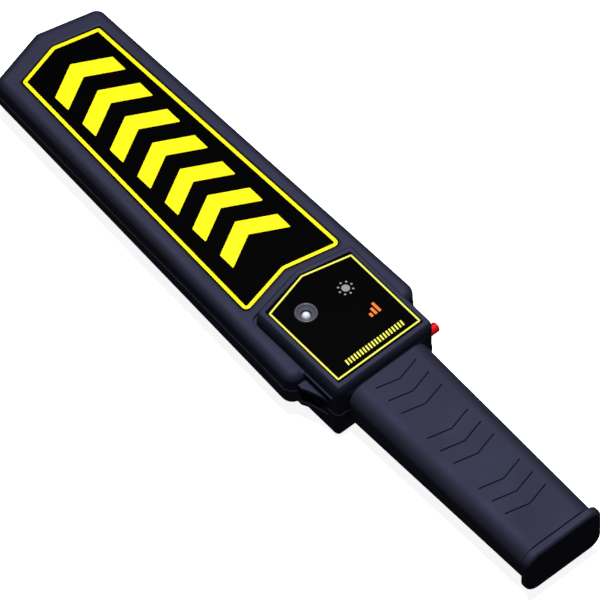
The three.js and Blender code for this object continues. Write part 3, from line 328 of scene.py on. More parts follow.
mesh_material = woven_mesh()
print("mesh nodes:", len(mesh_material.node_tree.nodes))

# %% [markdown]
# Each solid of the frame gets the finish of the real piece. The ones that are right as they are
# stay, and only their material slot is filled. What isn't listed is plated steel: screws,
# contacts and the motor's weight.

# %% Finishes on the frame's own solids
finishes = {
    "upper_shell": shell_plastic, "lower_shell": shell_plastic, "end_cap": shell_plastic,
    "grip_sleeve": grip_plastic, "head_label": black_film, "control_label": black_film,
    "led_bezel": rim_plastic, "status_led": lamp_material, "sounder": case_plastic,
    "sounder_mesh": mesh_material, "circuit_board": board_laminate, "processor": case_plastic,
    "amplifier_chip": case_plastic, "voltage_regulator": case_plastic,
    "sensitivity_trimmer": trimmer_plastic, "capacitor_1": drawn_can, "capacitor_2": drawn_can,
    "coil_former": former_plastic, "transmit_winding": copper_winding,
    "receive_winding": copper_winding, "coil_cable": black_insulation,
    "power_switch": case_plastic, "switch_knob": knob_plastic, "button_switch": case_plastic,
    "push_button": button_plastic, "vibration_motor": drawn_can, "battery": battery_jacket,
    "contact_board": board_laminate, "battery_wire_positive": red_insulation,
    "battery_wire_negative": black_insulation, "cap_gasket": gasket_rubber,
    "battery_pad": foam_rubber,
}
for name, solid in frame["nodes"].items():
    solid.data.materials.clear()
    solid.data.materials.append(finishes.get(name, zinc_steel))
print("solids finished:", len(frame["nodes"]))

# %% [markdown]
# Each new piece stands for a solid of the frame, or lies on one. It is handed over with a
# material and the moving body that it rides on. For a piece that stands for a solid, the body
# is looked up in the record, which is safer than typing it again.

# %% Handing a piece over


def body_of(node):
    """The moving body that a solid belongs to."""
    groups = frame["record"]["behaviour"]["bodies"]
    return next(body for body, members in groups.items() if node in members)


def dress(piece, body, material):
    """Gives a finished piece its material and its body."""
    piece.data.materials.clear()
    piece.data.materials.append(material)
    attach(piece, body)
    print(piece.name, "faces:", len(piece.data.polygons))


def stands_for(piece, node, material):
    """Makes a finished piece stand for a solid of the frame."""
    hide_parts(node)
    dress(piece, body_of(node), material)


# %% [markdown]
# Shaping is done in edit mode, as by hand. An operator acts on all that is selected, so a piece
# is made the only one first, and its faces, edges or vertices are picked by a test of their
# middle, which reads better than their numbers would. A face looks along an axis when its normal
# reaches 0.9 there, and two places agree when they are a hundredth of a millimetre apart.

# %% Working in edit mode
FACING = 0.9
TINY = 0.01


def only(piece):
    """Makes a piece the one selected and active object."""
    bpy.ops.object.select_all(action="DESELECT")
    piece.select_set(True)
    bpy.context.view_layer.objects.active = piece


def object_mode():
    """Leaves edit mode, which writes the work back to the mesh."""
    bpy.ops.object.mode_set(mode="OBJECT")


def edit_all(piece):
    """Opens a piece in edit mode with everything selected."""
    only(piece)
    bpy.ops.object.mode_set(mode="EDIT")
    bpy.ops.mesh.select_all(action="SELECT")


def outward(piece):
    """Points all faces of a closed piece outwards."""
    edit_all(piece)
    bpy.ops.mesh.normals_make_consistent(inside=False)
    object_mode()
    return piece


def pick(piece, mode, wanted):
    """Selects what passes a test of its middle and itself, and stays in edit mode."""
    only(piece)
    bpy.ops.object.mode_set(mode="EDIT")
    bpy.ops.mesh.select_all(action="DESELECT")
    bpy.ops.mesh.select_mode(type=mode)
    object_mode()
    mesh = piece.data
    elements = {"VERT": mesh.vertices, "EDGE": mesh.edges, "FACE": mesh.polygons}[mode]
    for element in elements:
        corners = [element.index] if mode == "VERT" else element.vertices
        middle = sum((mesh.vertices[i].co for i in corners), Vector()) / len(corners)
        element.select = bool(wanted(middle, element))
    bpy.ops.object.mode_set(mode="EDIT")


def bevel_edges(radius, segments):
    """Bevels the selected edges and leaves edit mode."""
    bpy.ops.mesh.bevel(offset=radius * MM, segments=segments, affect="EDGES")
    object_mode()


# %% [markdown]
# Many pieces start as a flat outline: a filled circle with one vertex for each corner, whose
# vertices are then moved to the corners and beveled to the corner's radius. A curve could draw
# the same, but a face can be extruded at once. Most of this wand's outlines are alike left and
# right, so only the left half is written.

# %% Flat outlines and plates
CORNER_STEPS = 8


def round_corner(piece, corner, tangent):
    """Rounds the flat outline's corner that lies at a place."""
    nearest = min(piece.data.vertices, key=lambda vertex: (vertex.co - corner).length).index
    pick(piece, "VERT", lambda middle, vertex: vertex.index == nearest)
    bpy.ops.mesh.bevel(offset=tangent, affect="VERTICES", segments=CORNER_STEPS)
    object_mode()


def flat_outline(name, corners, height):
    """A flat face with the given corners, counter-clockwise: x, y and radius in millimetres."""
    bpy.ops.object.select_all(action="DESELECT")
    bpy.ops.mesh.primitive_circle_add(vertices=len(corners), radius=MM, fill_type="NGON")
    piece = bpy.context.object
    piece.name = name
    for vertex, (x, y, _) in zip(piece.data.vertices, corners):
        vertex.co = (x * MM, y * MM, height * MM)
    for place, (x, y, radius) in enumerate(corners):
        if radius:
            here = Vector((x, y))
            before = Vector(corners[place - 1][:2]) - here
            after = Vector(corners[(place + 1) % len(corners)][:2]) - here
            tangent = radius / math.tan(before.angle(after) / 2)
            round_corner(piece, Vector((x, y, height)) * MM, tangent * MM)
    return piece


def both_sides(corners):
    """An outline from its left half, which starts and ends near the middle."""
    return [*corners, *((-x, y, radius) for x, y, radius in reversed(corners) if x)]


def rectangle(left, right, bottom, top, radius):
    """The corners of a rectangle with rounded corners."""
    return [(x, y, radius) for x, y in (
        (right, top), (left, top), (left, bottom), (right, bottom))]


def raise_faces(piece, rise):
    """Gives a flat piece its thickness, upwards, as a closed solid."""
    edit_all(piece)
    bpy.ops.mesh.extrude_region_move(TRANSFORM_OT_translate={"value": (0, 0, rise * MM)})
    object_mode()
    return outward(piece)


def plate(name, corners, height, rise):
    """A plate with the given outline, from a height upwards."""
    return raise_faces(flat_outline(name, corners, height), rise)


print("each rounded corner has", CORNER_STEPS, "steps")

# %% [markdown]
# The black films carry screen-printed ink. It could be a colour pattern in the film's material,
# but real ink stands a little proud and its edge is crisp, so the print is made of thin plates,
# 0.05 mm high. Inset turns an outline into an even line.

# %% Ink
INK = 0.05


def printed_line(name, corners, height, width):
    """An even line of ink along the inside of an outline."""
    piece = flat_outline(name, corners, height)
    edit_all(piece)
    bpy.ops.mesh.inset(thickness=width * MM, use_boundary=True)
    bpy.ops.mesh.delete(type="FACE")
    object_mode()
    return raise_faces(piece, INK)


def separate_copy(piece, name):
    """A copy with its own mesh."""
    copy = bpy.data.objects.new(name, piece.data.copy())
    bpy.context.collection.objects.link(copy)
    return copy


def spread(pattern, moves):
    """Copies a pattern to every move in millimetres, and removes the pattern."""
    made = [separate_copy(pattern, pattern.name) for move in moves]
    for copy, move in zip(made, moves):
        copy.data.transform(Matrix.Translation(Vector(move) * MM))
    bpy.data.objects.remove(pattern)
    return made


def joined(name, pieces):
    """Joins pieces into one."""
    bpy.ops.object.select_all(action="DESELECT")
    for piece in pieces:
        piece.select_set(True)
    bpy.context.view_layer.objects.active = pieces[0]
    bpy.ops.object.join()
    pieces[0].name = name
    return pieces[0]


head_film_top = box_mm("head_label")[1].z
panel_film_top = box_mm("control_label")[1].z
print("film tops at", round(head_film_top, 2), "and", round(panel_film_top, 2), "mm")

# %% [markdown]
# The paddle's film has a bold yellow border that follows its five sides and its notch. The big
# print inside it is a row of bold arrowheads towards the tip, the end that does the sensing.
# One arrowhead is drawn from its corners and copied along the film.

# %% Print on the paddle
HEAD_BORDER = both_sides([(0, 193.0, 2.0), (-26.0, 186.4, 1.6), (-32.1, 3.2, 3.0),
                          (0, 10.4, 4.0)])
HEAD_BORDER_WIDTH = 2.0
ARROWS = 7
ARROW_PITCH = 21.6
ARROW_FIRST = 28.0
ARROW_HALF = 19.5
ARROW_RISE = 10.6
ARROW_THICK = 10.5
ARROW_ROUND = 0.5

border = printed_line("head_border", HEAD_BORDER, head_film_top, HEAD_BORDER_WIDTH)
arrow = plate("arrow", both_sides([
    (0, ARROW_RISE + ARROW_THICK, ARROW_ROUND), (-ARROW_HALF, ARROW_THICK, ARROW_ROUND),
    (-ARROW_HALF, 0, ARROW_ROUND), (0, ARROW_RISE, ARROW_ROUND)]), head_film_top, INK)
arrows = spread(arrow, [(0, ARROW_FIRST + ARROW_PITCH * k, 0) for k in range(ARROWS)])
dress(joined("head_print", [border, *arrows]), "housing", yellow_ink)

# %% [markdown]
# The control panel's border is thinner and paler. Along its rear edge runs a row of short slanted
# ticks, and beside the sounder three bars of rising height, in orange, stand for the signal.
# Two inks make two pieces, because a piece has one finish.

# %% Print on the control panel
PANEL_BORDER = both_sides([(0, -2.4, 0.8), (-28.0, -9.3, 0.8), (-28.0, -63.4, 0.8)])
PANEL_BORDER_WIDTH = 1.0
TICKS = 20
TICK_PITCH = 1.95
TICK_FIRST = (-17, -59.8)
TICK_SHAPE = [(0.5, 3.4, 0), (-0.5, 3.4, 0), (-0.9, 0, 0), (0.1, 0, 0)]
BAR_RISES = (2.6, 4.6, 6.6)
BAR_FIRST = (10.4, -45.4)
BAR_PITCH = 2.6
BAR_WIDTH = 1.6
BAR_ROUND = 0.5

panel_line = printed_line("panel_border", PANEL_BORDER, panel_film_top, PANEL_BORDER_WIDTH)
ticks = spread(plate("tick", TICK_SHAPE, panel_film_top, INK), [
    (TICK_FIRST[0] + TICK_PITCH * k, TICK_FIRST[1], 0) for k in range(TICKS)])
dress(joined("panel_print", [panel_line, *ticks]), "housing", pale_yellow_ink)

signal_bars = []
for step, rise in enumerate(BAR_RISES):
    left, bottom = BAR_FIRST[0] + BAR_PITCH * step, BAR_FIRST[1]
    outline = rectangle(left, left + BAR_WIDTH, bottom, bottom + rise, BAR_ROUND)
    signal_bars.append(plate("bar", outline, panel_film_top, INK))
dress(joined("signal_print", signal_bars), "housing", orange_ink)

# %% [markdown]
# The sleeve of the grip is one moulding, a tube whose rounded-off rectangle tapers to the rear.
# A cube gets the front and rear sizes, its four long edges are beveled into the big rounds, and
# the two ends are inset and bridged, which leaves the wall between two tubes. A Solidify
# modifier could make the wall too, but on a tapered tube it tilts the rims.

# %% Grip sleeve
WALL = 2.0
SLEEVE_ROUND = 9.5


def tapered_block(name, front, rear):
    """A cube between two ends. An end is y, half width, bottom and top in millimetres."""
    bpy.ops.object.select_all(action="DESELECT")
    bpy.ops.mesh.primitive_cube_add(size=2)
    piece = bpy.context.object
    piece.name = name
    for vertex in piece.data.vertices:
        y, half, bottom, top = front if vertex.co.y > 0 else rear
        z = top if vertex.co.z > 0 else bottom
        vertex.co = (half * math.copysign(1, vertex.co.x) * MM, y * MM, z * MM)
    return piece


def round_long_edges(piece, radius, segments):
    """Rounds the edges that run along the wand."""
    def runs_along(middle, edge):
        a, b = (piece.data.vertices[i].co for i in edge.vertices)
        return abs((b - a).normalized().y) > FACING
    pick(piece, "EDGE", runs_along)
    bevel_edges(radius, segments)


sleeve_low, sleeve_high = box_mm("grip_sleeve")
SLEEVE_FRONT = (sleeve_high.y, 26.1, 8.9, 37.9)
SLEEVE_REAR = (sleeve_low.y, 24.1, 10.15, 36.45)
sleeve = tapered_block("grip_sleeve_moulding", SLEEVE_FRONT, SLEEVE_REAR)
round_long_edges(sleeve, SLEEVE_ROUND, 12)
pick(sleeve, "FACE", lambda middle, face: abs(face.normal.y) > FACING)
bpy.ops.mesh.inset(thickness=WALL * MM)
bpy.ops.mesh.delete(type="FACE")
bpy.ops.mesh.select_mode(type="EDGE")
bpy.ops.mesh.select_non_manifold()
bpy.ops.mesh.bridge_edge_loops()
object_mode()
outward(sleeve)
print("sleeve faces:", len(sleeve.data.polygons))

# %% [markdown]
# Nine fine grooves lie across the top of the sleeve, in three groups of three. Each is a V in
# section and a shallow arrow in plan, whose point looks to the rear. A dark line in the material
# would look right only from above, so the grooves are cut: one cutter is drawn, narrowed at its
# bottom, copied to every place at the height of the sloping top, and taken out in one boolean.

# %% Grooves of the grip
GROOVE_SLOTS = (0, 1, 2, 4, 5, 6, 8, 9, 10)
GROOVE_START = 6.8
GROOVE_PITCH = 10.0
GROOVE_HALF = 13.8
GROOVE_FALL = 3.5
GROOVE_WIDTH = 1.0
GROOVE_DEPTH = 1.1
GROOVE_FLOOR = 0.12
GROOVE_END = 0.3
ABOVE = 0.1


def smooth(piece, angle=40):
    """Smooth shading up to an angle, with normals weighted so that flats stay flat."""
    only(piece)
    bpy.ops.object.shade_smooth_by_angle(angle=math.radians(angle))
    weighted = piece.modifiers.new("weighted", "WEIGHTED_NORMAL")
    weighted.keep_sharp = True
    bpy.ops.object.modifier_apply(modifier=weighted.name)


def cut(piece, cutter, operation="DIFFERENCE"):
    """Combines a piece with another by an exact boolean, and removes the other."""
    only(piece)
    boolean = piece.modifiers.new("cut", "BOOLEAN")
    boolean.operation = operation
    boolean.solver = "EXACT"
    boolean.object = cutter
    bpy.ops.object.modifier_apply(modifier=boolean.name)
    bpy.data.objects.remove(cutter)


slope = (SLEEVE_FRONT[3] - SLEEVE_REAR[3]) / (SLEEVE_FRONT[0] - SLEEVE_REAR[0])
groove = plate("groove", both_sides([
    (0, GROOVE_WIDTH - GROOVE_FALL, 0), (-GROOVE_HALF, GROOVE_WIDTH, GROOVE_END),
    (-GROOVE_HALF, 0, GROOVE_END), (0, -GROOVE_FALL, 0)]), 0, GROOVE_DEPTH + ABOVE)
for vertex in groove.data.vertices:
    if vertex.co.z < ABOVE * MM:
        middle_y = ((GROOVE_WIDTH / 2 - GROOVE_FALL) * MM
                    + GROOVE_FALL * abs(vertex.co.x) / GROOVE_HALF)
        vertex.co.y = middle_y + (vertex.co.y - middle_y) * GROOVE_FLOOR
setbacks = [GROOVE_START + slot * GROOVE_PITCH for slot in GROOVE_SLOTS]
cut(sleeve, joined("grooves", spread(groove, [
    (0, SLEEVE_FRONT[0] - setback, SLEEVE_FRONT[3] - slope * setback - GROOVE_DEPTH)
    for setback in setbacks])))
smooth(sleeve)
stands_for(sleeve, "grip_sleeve", grip_plastic)

# %% [markdown]
# The end cap is a lipped plate with a plug that goes into the tail. Its corners follow the grip,
# and its rear face is rounded all the way round, so that the hand finds it without an edge.
# Plate and plug are blocks with beveled edges, because their roundings differ from side to side.

# %% End cap
CAP_THICKNESS = 5.0
CAP_HALF = 25.4
CAP_CORNER = 8
CAP_REAR_ROUND = 2.4
CAP_FRONT_ROUND = 0.5
PLUG_HALF = 19.8
PLUG_HALF_HEIGHT = 8.85
PLUG_CORNER = 4.7
PLUG_END_ROUND = 0.6


def block_between(name, x, y, z):
    """A block between two values of x, of y and of z in millimetres."""
    piece = tapered_block(name, (y[1], 1, *z), (y[0], 1, *z))
    for vertex in piece.data.vertices:
        vertex.co.x = (x[0] if vertex.co.x < 0 else x[1]) * MM
    return piece


def round_rim(piece, wanted, radius, segments):
    """Rounds the rim of the faces that pass a test."""
    pick(piece, "FACE", wanted)
    bpy.ops.mesh.region_to_loop()
    bevel_edges(radius, segments)


cap_low, cap_high = box_mm("end_cap")
cap = block_between("end_cap_moulding", (-CAP_HALF, CAP_HALF),
                    (cap_low.y, cap_low.y + CAP_THICKNESS), (cap_low.z, cap_high.z))
round_long_edges(cap, CAP_CORNER, 10)
round_rim(cap, lambda middle, face: face.normal.y < -FACING, CAP_REAR_ROUND, 8)
round_rim(cap, lambda middle, face: face.normal.y > FACING, CAP_FRONT_ROUND, 3)
bay_middle = (SLEEVE_REAR[2] + SLEEVE_REAR[3]) / 2
plug = block_between("plug", (-PLUG_HALF, PLUG_HALF), (cap_low.y + CAP_THICKNESS / 2, cap_high.y),
                     (bay_middle - PLUG_HALF_HEIGHT, bay_middle + PLUG_HALF_HEIGHT))
round_long_edges(plug, PLUG_CORNER, 8)
round_rim(plug, lambda middle, face: face.normal.y > FACING, PLUG_END_ROUND, 3)
cut(cap, plug, "UNION")
smooth(cap)
stands_for(cap, "end_cap", shell_plastic)

# %% [markdown]
# The two shells share one outer form: the paddle, the control block that sits through it, the
# tail that the sleeve covers, two pairs of webs and a thin rib on each side. Rounded forms are
# lofted. Each level is an outline, drawn in by some millimetres and set at a height, and
# neighbouring levels are bridged. A bevel of a plain block would be quicker, but it can't give
# the sloping underside, the ledge and three different rounds. Where a corner is drawn in past
# its radius it keeps 0.4 mm.

# %% Lofted forms
LEAST_RADIUS = 0.4


def drawn_in(corners, inset):
    """The outline's corners after every side has moved in by an inset."""
    moved = []
    for place, (x, y, radius) in enumerate(corners):
        here = Vector((x, y))
        before = (here - Vector(corners[place - 1][:2])).normalized()
        after = (Vector(corners[(place + 1) % len(corners)][:2]) - here).normalized()
        inwards = [Vector((-side.y, side.x)) for side in (before, after)]
        turn = inwards[0].dot(inwards[1])
        spot = here + (inwards[0] + inwards[1]) * inset / (1 + turn)
        convex = before.x * after.y - before.y * after.x > 0
        new_radius = radius - inset if convex else radius + inset
        moved.append((spot.x, spot.y, max(new_radius, LEAST_RADIUS)))
    return moved


def bridged(name, rings):
    """A closed solid through flat outlines with the same number of corners."""
    for ring in rings:
        edit_all(ring)
        bpy.ops.mesh.delete(type="ONLY_FACE")
        object_mode()
    count, last = len(rings[0].data.vertices), len(rings) - 1
    piece = joined(name, rings)

    def pick_rings(first, final):
        pick(piece, "EDGE", lambda middle, edge: all(
            first * count <= i < (final + 1) * count for i in edge.vertices))

    for step in range(last):
        pick_rings(step, step + 1)
        bpy.ops.mesh.bridge_edge_loops()
        object_mode()
    for end in (0, last):
        pick_rings(end, end)
        bpy.ops.mesh.edge_face_add()
        object_mode()
    return outward(piece)


def lofted(name, corners, levels):
    """A closed solid through levels of an outline. A level is its inset and its height over y."""
    rings = []
    for inset, height in levels:
        ring = flat_outline(name, drawn_in(corners, inset), 0)
        for vertex in ring.data.vertices:
            vertex.co.z = height(vertex.co.y / MM) * MM
        rings.append(ring)
    return bridged(name, rings)


print("a 2 mm corner drawn in by 3 mm keeps a radius of",
      drawn_in(rectangle(0, 10, 0, 10, 2), 3)[0][2], "mm")

# %% [markdown]
# The paddle is a flat five-sided box with soft edges, and its underside slopes. Its levels are
# two quarter turns with a small ledge between them: at the seam the upper shell stands 0.4 mm
# back, and the ledge it leaves catches the light as a thin bright line.

# %% Paddle
HEAD_REAR = -44.6
HEAD_TIP = 206.6
HEAD = both_sides([(0, HEAD_TIP, 6.0), (-35.8, 197.5, 6.0), (-43.7, HEAD_REAR, 7.0)])
HEAD_TOP = 37.0
HEAD_SEAM = 24.7
HEAD_BOTTOM_ROUND = 3.0
HEAD_TOP_ROUND = 5.5
UNDERSIDE_REAR = 12.7
UNDERSIDE_RISE = 3.7
LEDGE = 0.4
LEDGE_HALF_HEIGHT = 0.1


def quarter(steps):
    """Sine and one minus cosine at each step of a quarter turn."""
    angles = [math.pi / 2 * k / steps for k in range(steps + 1)]
    return [(math.sin(a), 1 - math.cos(a)) for a in angles]


def ledge(seam, below, above):
    """Levels of a small ledge at a seam, from the inset below it to the inset above it."""
    return [(below, lambda y: seam - LEDGE_HALF_HEIGHT),
            (above, lambda y: seam + LEDGE_HALF_HEIGHT)]


def slab(bottom, top, bottom_round, top_round, steps, between=(), draft=0):
    """Levels of a slab with rounded bottom and top edges, and what lies between them."""
    low = [(bottom_round * (1 - s), lambda y, c=c: bottom(y) + bottom_round * c)
           for s, c in quarter(steps)]
    high = [(draft + (top_round - draft) * c, lambda y, s=s: top(y) - top_round * (1 - s))
            for s, c in quarter(steps)]
    return low + list(between) + high


def underside(y):
    """Height of the paddle's sloping underside."""
    return UNDERSIDE_REAR + UNDERSIDE_RISE * (y - HEAD_REAR) / (HEAD_TIP - HEAD_REAR)


head_form = lofted("head_form", HEAD, slab(
    underside, lambda y: HEAD_TOP, HEAD_BOTTOM_ROUND, HEAD_TOP_ROUND, 9,
    ledge(HEAD_SEAM, 0, LEDGE), LEDGE))
print("paddle faces:", len(head_form.data.polygons))

# %% [markdown]
# A narrow groove runs round the block where it comes up through the paddle. It is the block's
# own outline, grown by the groove's width and cut into the paddle's top. Its upper edges are
# beveled, which gives the soft line that the eye sees there.

# %% Groove round the block
BLOCK_HALF = 33.4
BLOCK_REAR = -69.4
BLOCK = both_sides([(0, 3.6, 3.0), (-BLOCK_HALF, -3.4, 4.0), (-BLOCK_HALF, BLOCK_REAR, 4.0)])
GAP_WIDTH = 1.2
GAP_DEPTH = 2
GAP_ROUND = 0.4
GAP_CUTTER_RISE = 6
NEAR_X = 35
NEAR_Y = 8


def on_gap_rim(middle, edge):
    """Whether an edge is the groove's upper rim, or lies high on its sides."""
    ends = [head_form.data.vertices[i].co for i in edge.vertices]
    side = BLOCK_HALF + GAP_WIDTH
    near = abs(middle.x) < NEAR_X * MM and middle.y < NEAR_Y * MM
    top = abs(middle.z / MM - HEAD_TOP) < TINY
    high = middle.z > (HEAD_TOP - GAP_DEPTH + ABOVE) * MM
    return near and (top or high and all(abs(abs(end.x) / MM - side) < 2 * TINY for end in ends))


cut(head_form, plate("gap_cutter", drawn_in(BLOCK, -GAP_WIDTH), HEAD_TOP - GAP_DEPTH,
                     GAP_CUTTER_RISE))
pick(head_form, "EDGE", on_gap_rim)
bevel_edges(GAP_ROUND, 3)
print("paddle faces with the groove:", len(head_form.data.polygons))

# %% [markdown]
# The control block stands through the paddle. Its foot is a quarter turn, its shoulders slope
# down from the panel, and it has the same ledge at its own, lower seam. The tail that goes into
# the sleeve is drawn as the grip's section at its two ends, in x and z, and turned upright.

# %% Block and tail
BLOCK_TOP = 45.0
BLOCK_SEAM = 22.0
BLOCK_DRAFT = 0.7
FOOT_DRAFT = 0.8
FOOT_ROUND = 6
SHOULDER_IN = 2.2
SHOULDER_DOWN = 7
TAIL_GAP = 0.3
TAIL_FRONT = -67.2
GRIP_ROUND = 10


def grip_section(y, inset):
    """Corners of the grip's section at y, drawn in by an inset, as x, z and radius."""
    share = (y - SLEEVE_FRONT[0]) / (SLEEVE_REAR[0] - SLEEVE_FRONT[0])
    half, bottom, top = (front + (rear - front) * share
                         for front, rear in zip(SLEEVE_FRONT[1:], SLEEVE_REAR[1:]))
    return rectangle(inset - half, half - inset, bottom + inset, top - inset,
                     GRIP_ROUND - share - inset)


def upright(piece):
    """Turns a form drawn in x and z, and lofted along z, so that its levels lie along y."""
    piece.data.transform(Matrix(((1, 0, 0, 0), (0, 0, 1, 0), (0, 1, 0, 0), (0, 0, 0, 1))))
    return outward(piece)


foot = [(FOOT_DRAFT + FOOT_ROUND * (1 - s), lambda y, c=c: FOOT_ROUND * c)
        for s, c in quarter(8)]
shoulder = [(BLOCK_DRAFT + SHOULDER_IN * c, lambda y, s=s: BLOCK_TOP - SHOULDER_DOWN * (1 - s))
            for s, c in quarter(9)]
block_form = lofted("block_form", BLOCK, [
    *foot, *ledge(BLOCK_SEAM, BLOCK_DRAFT - LEDGE, BLOCK_DRAFT), *shoulder])
tail_form = upright(bridged("tail_form", [
    flat_outline("tail", grip_section(y, WALL + TAIL_GAP), y)
    for y in (SLEEVE_REAR[0], TAIL_FRONT)]))

outer_form = head_form
for part in (block_form, tail_form):
    cut(outer_form, part, "UNION")
print("outer form faces:", len(outer_form.data.polygons))

# %% [markdown]
# Behind the paddle's arms, two webs on each side run in a hollow curve to the block, and a thin
# rib lies above them. They stiffen the mouldings there. A web is a plate with the curve in its
# outline, drawn as a quadratic curve through its start, its pull and its end.

# %% Webs and ribs
WEB_CURVE = ((38.4, -47.0), (35.4, -51.5), (33.2, -61.6))
WEB_STEPS = 12
WEB_ROOT = 31.2
WEB_FRONT = -42.4
WEB_MIDDLES = (28.0, 15.2)
WEB_THICKNESS = 2.7
WEB_ROUND = 0.4
RIB_X = (31.6, 33.6)
RIB_Y = (-64.8, -43.6)
RIB_Z = (33.7, 34.7)
RIB_ROUND = 0.2


def web_outline(side):
    """A web in plan: a hollow curve from the paddle's arm to the block, and a straight root."""
    start, end = WEB_CURVE[0], WEB_CURVE[-1]
    corners = [[(1 - s) ** 2 * a + 2 * s * (1 - s) * b + s ** 2 * c for a, b, c in zip(*WEB_CURVE)]
               for s in (k / WEB_STEPS for k in range(WEB_STEPS + 1))]
    corners += [(WEB_ROOT, end[1]), (WEB_ROOT, WEB_FRONT), (start[0], WEB_FRONT)]
    corners = [(x * side, y, 0) for x, y in corners]
    return corners if side < 0 else corners[::-1]


for side in (-1, 1):
    for middle_z in WEB_MIDDLES:
        web = plate("web", web_outline(side), middle_z - WEB_THICKNESS / 2, WEB_THICKNESS)
        round_rim(web, lambda middle, face: abs(face.normal.z) > FACING, WEB_ROUND, 3)
        cut(outer_form, web, "UNION")
    rib = outward(block_between("rib", [side * x for x in RIB_X], RIB_Y, RIB_Z))
    edit_all(rib)
    bevel_edges(RIB_ROUND, 2)
    cut(outer_form, rib, "UNION")
print("outer form faces:", len(outer_form.data.polygons))

# %% [markdown]
# The seam steps down from the paddle to the block. The shells could be modelled one by one, but
# then their outsides might not meet. So each is the part of the one outer form on its side of
# the seam, less 0.15 mm.

# %% Splitting at the seam
SEAM_GAP = 0.15
BEYOND_Y = 215
BEYOND_TOP = 50
BEYOND_BOTTOM = -5
BEYOND_X = 50


def seam_side(upper):
    """The space above or below the stepped seam, as a solid."""
    off = SEAM_GAP if upper else -SEAM_GAP
    far = BEYOND_TOP if upper else BEYOND_BOTTOM
    step = HEAD_REAR - off
    piece = plate("seam_side", [(y, z, 0) for y, z in (
        (-BEYOND_Y, BLOCK_SEAM + off), (step, BLOCK_SEAM + off), (step, HEAD_SEAM + off),
        (BEYOND_Y, HEAD_SEAM + off), (BEYOND_Y, far), (-BEYOND_Y, far))], -BEYOND_X, 2 * BEYOND_X)
    piece.data.transform(Matrix(((0, 0, 1, 0), (1, 0, 0, 0), (0, 1, 0, 0), (0, 0, 0, 1))))
    return outward(piece)


upper = separate_copy(outer_form, "upper_shell_moulding")
lower = outer_form
lower.name = "lower_shell_moulding"
cut(upper, seam_side(True), "INTERSECT")
cut(lower, seam_side(False), "INTERSECT")
print("upper and lower faces:", len(upper.data.polygons), len(lower.data.polygons))

# %% [markdown]
# Both shells are hollow with a 2.2 mm wall. The hollow is lofted like the outside and cut out
# of each. Bosses, pillars and ribs inside come from the frame's own solids: what of them lies
# in the hollow is kept and joined to the new walls, which saves modelling them again.

# %% Hollow and inner ribs
SHELL_WALL = 2.2
HEAD_HOLLOW_TOP = 34.0
HEAD_HOLLOW_ROUND = 2.6
BLOCK_HOLLOW_TOP = 42.3
BLOCK_HOLLOW_INSETS = (6, FOOT_DRAFT, BLOCK_DRAFT, BLOCK_DRAFT + SHOULDER_IN)
BAY_HALF = 20.1
BAY_HALF_HEIGHT = 9.15
BAY_CORNER = 5.0
BAY_Y = (-206.6, -65.2)
OVERLAP = 0.02
WELD = 0.002


def hollow_form(extra):
    """The inside of the two shells, drawn in by an extra fraction of a millimetre."""
    wall = SHELL_WALL + extra
    hollow = lofted("hollow", drawn_in(HEAD, wall), slab(
        lambda y: underside(y) + wall, lambda y: HEAD_HOLLOW_TOP - extra,
        HEAD_HOLLOW_ROUND, HEAD_HOLLOW_ROUND, 4))
    heights = (wall, SHELL_WALL + FOOT_ROUND, HEAD_HOLLOW_TOP, BLOCK_HOLLOW_TOP - extra)
    block_hollow = lofted("hollow", drawn_in(BLOCK, wall), [
        (inset, lambda y, height=height: height)
        for inset, height in zip(BLOCK_HOLLOW_INSETS, heights)])
    half, height = BAY_HALF - extra, BAY_HALF_HEIGHT - extra
    outline = rectangle(-half, half, bay_middle - height, bay_middle + height, BAY_CORNER)
    bay = upright(plate("bay", outline, BAY_Y[0], BAY_Y[1] - BAY_Y[0]))
    cut(hollow, block_hollow, "UNION")
    cut(hollow, bay, "UNION")
    return hollow


def welded_copy(node):
    """A copy of a frame solid whose loose triangles are merged."""
    copy = separate_copy(frame["nodes"][node], node + "_inside")
    edit_all(copy)
    bpy.ops.mesh.remove_doubles(threshold=WELD * MM)
    object_mode()
    return copy


insides = {}
for shell, node in ((upper, "upper_shell"), (lower, "lower_shell")):
    cut(shell, hollow_form(0))
    insides[node] = welded_copy(node)
    cut(insides[node], hollow_form(OVERLAP), "INTERSECT")
    print(node, "inner faces:", len(insides[node].data.polygons))

# %% [markdown]
# Turned pieces are spun from half of their section. The section is a closed loop of corners,
# radius and height, and the spin sweeps it once round. Doubles at the seam and on the axis are
# merged, and the normals are made consistent, because a spin can turn a shape inside out.

# %% Turned pieces
SPIN_STEPS = 48
PLAIN_STEPS = 32
SPIN_WELD = 0.001


def arc(middle, radius, start, end, steps=8):
    """Corners of an arc, for a section: the angles are in degrees from the radius direction."""
    angles = [math.radians(start + (end - start) * k / steps) for k in range(steps + 1)]
    return [(middle[0] + radius * math.cos(a), middle[1] + radius * math.sin(a)) for a in angles]


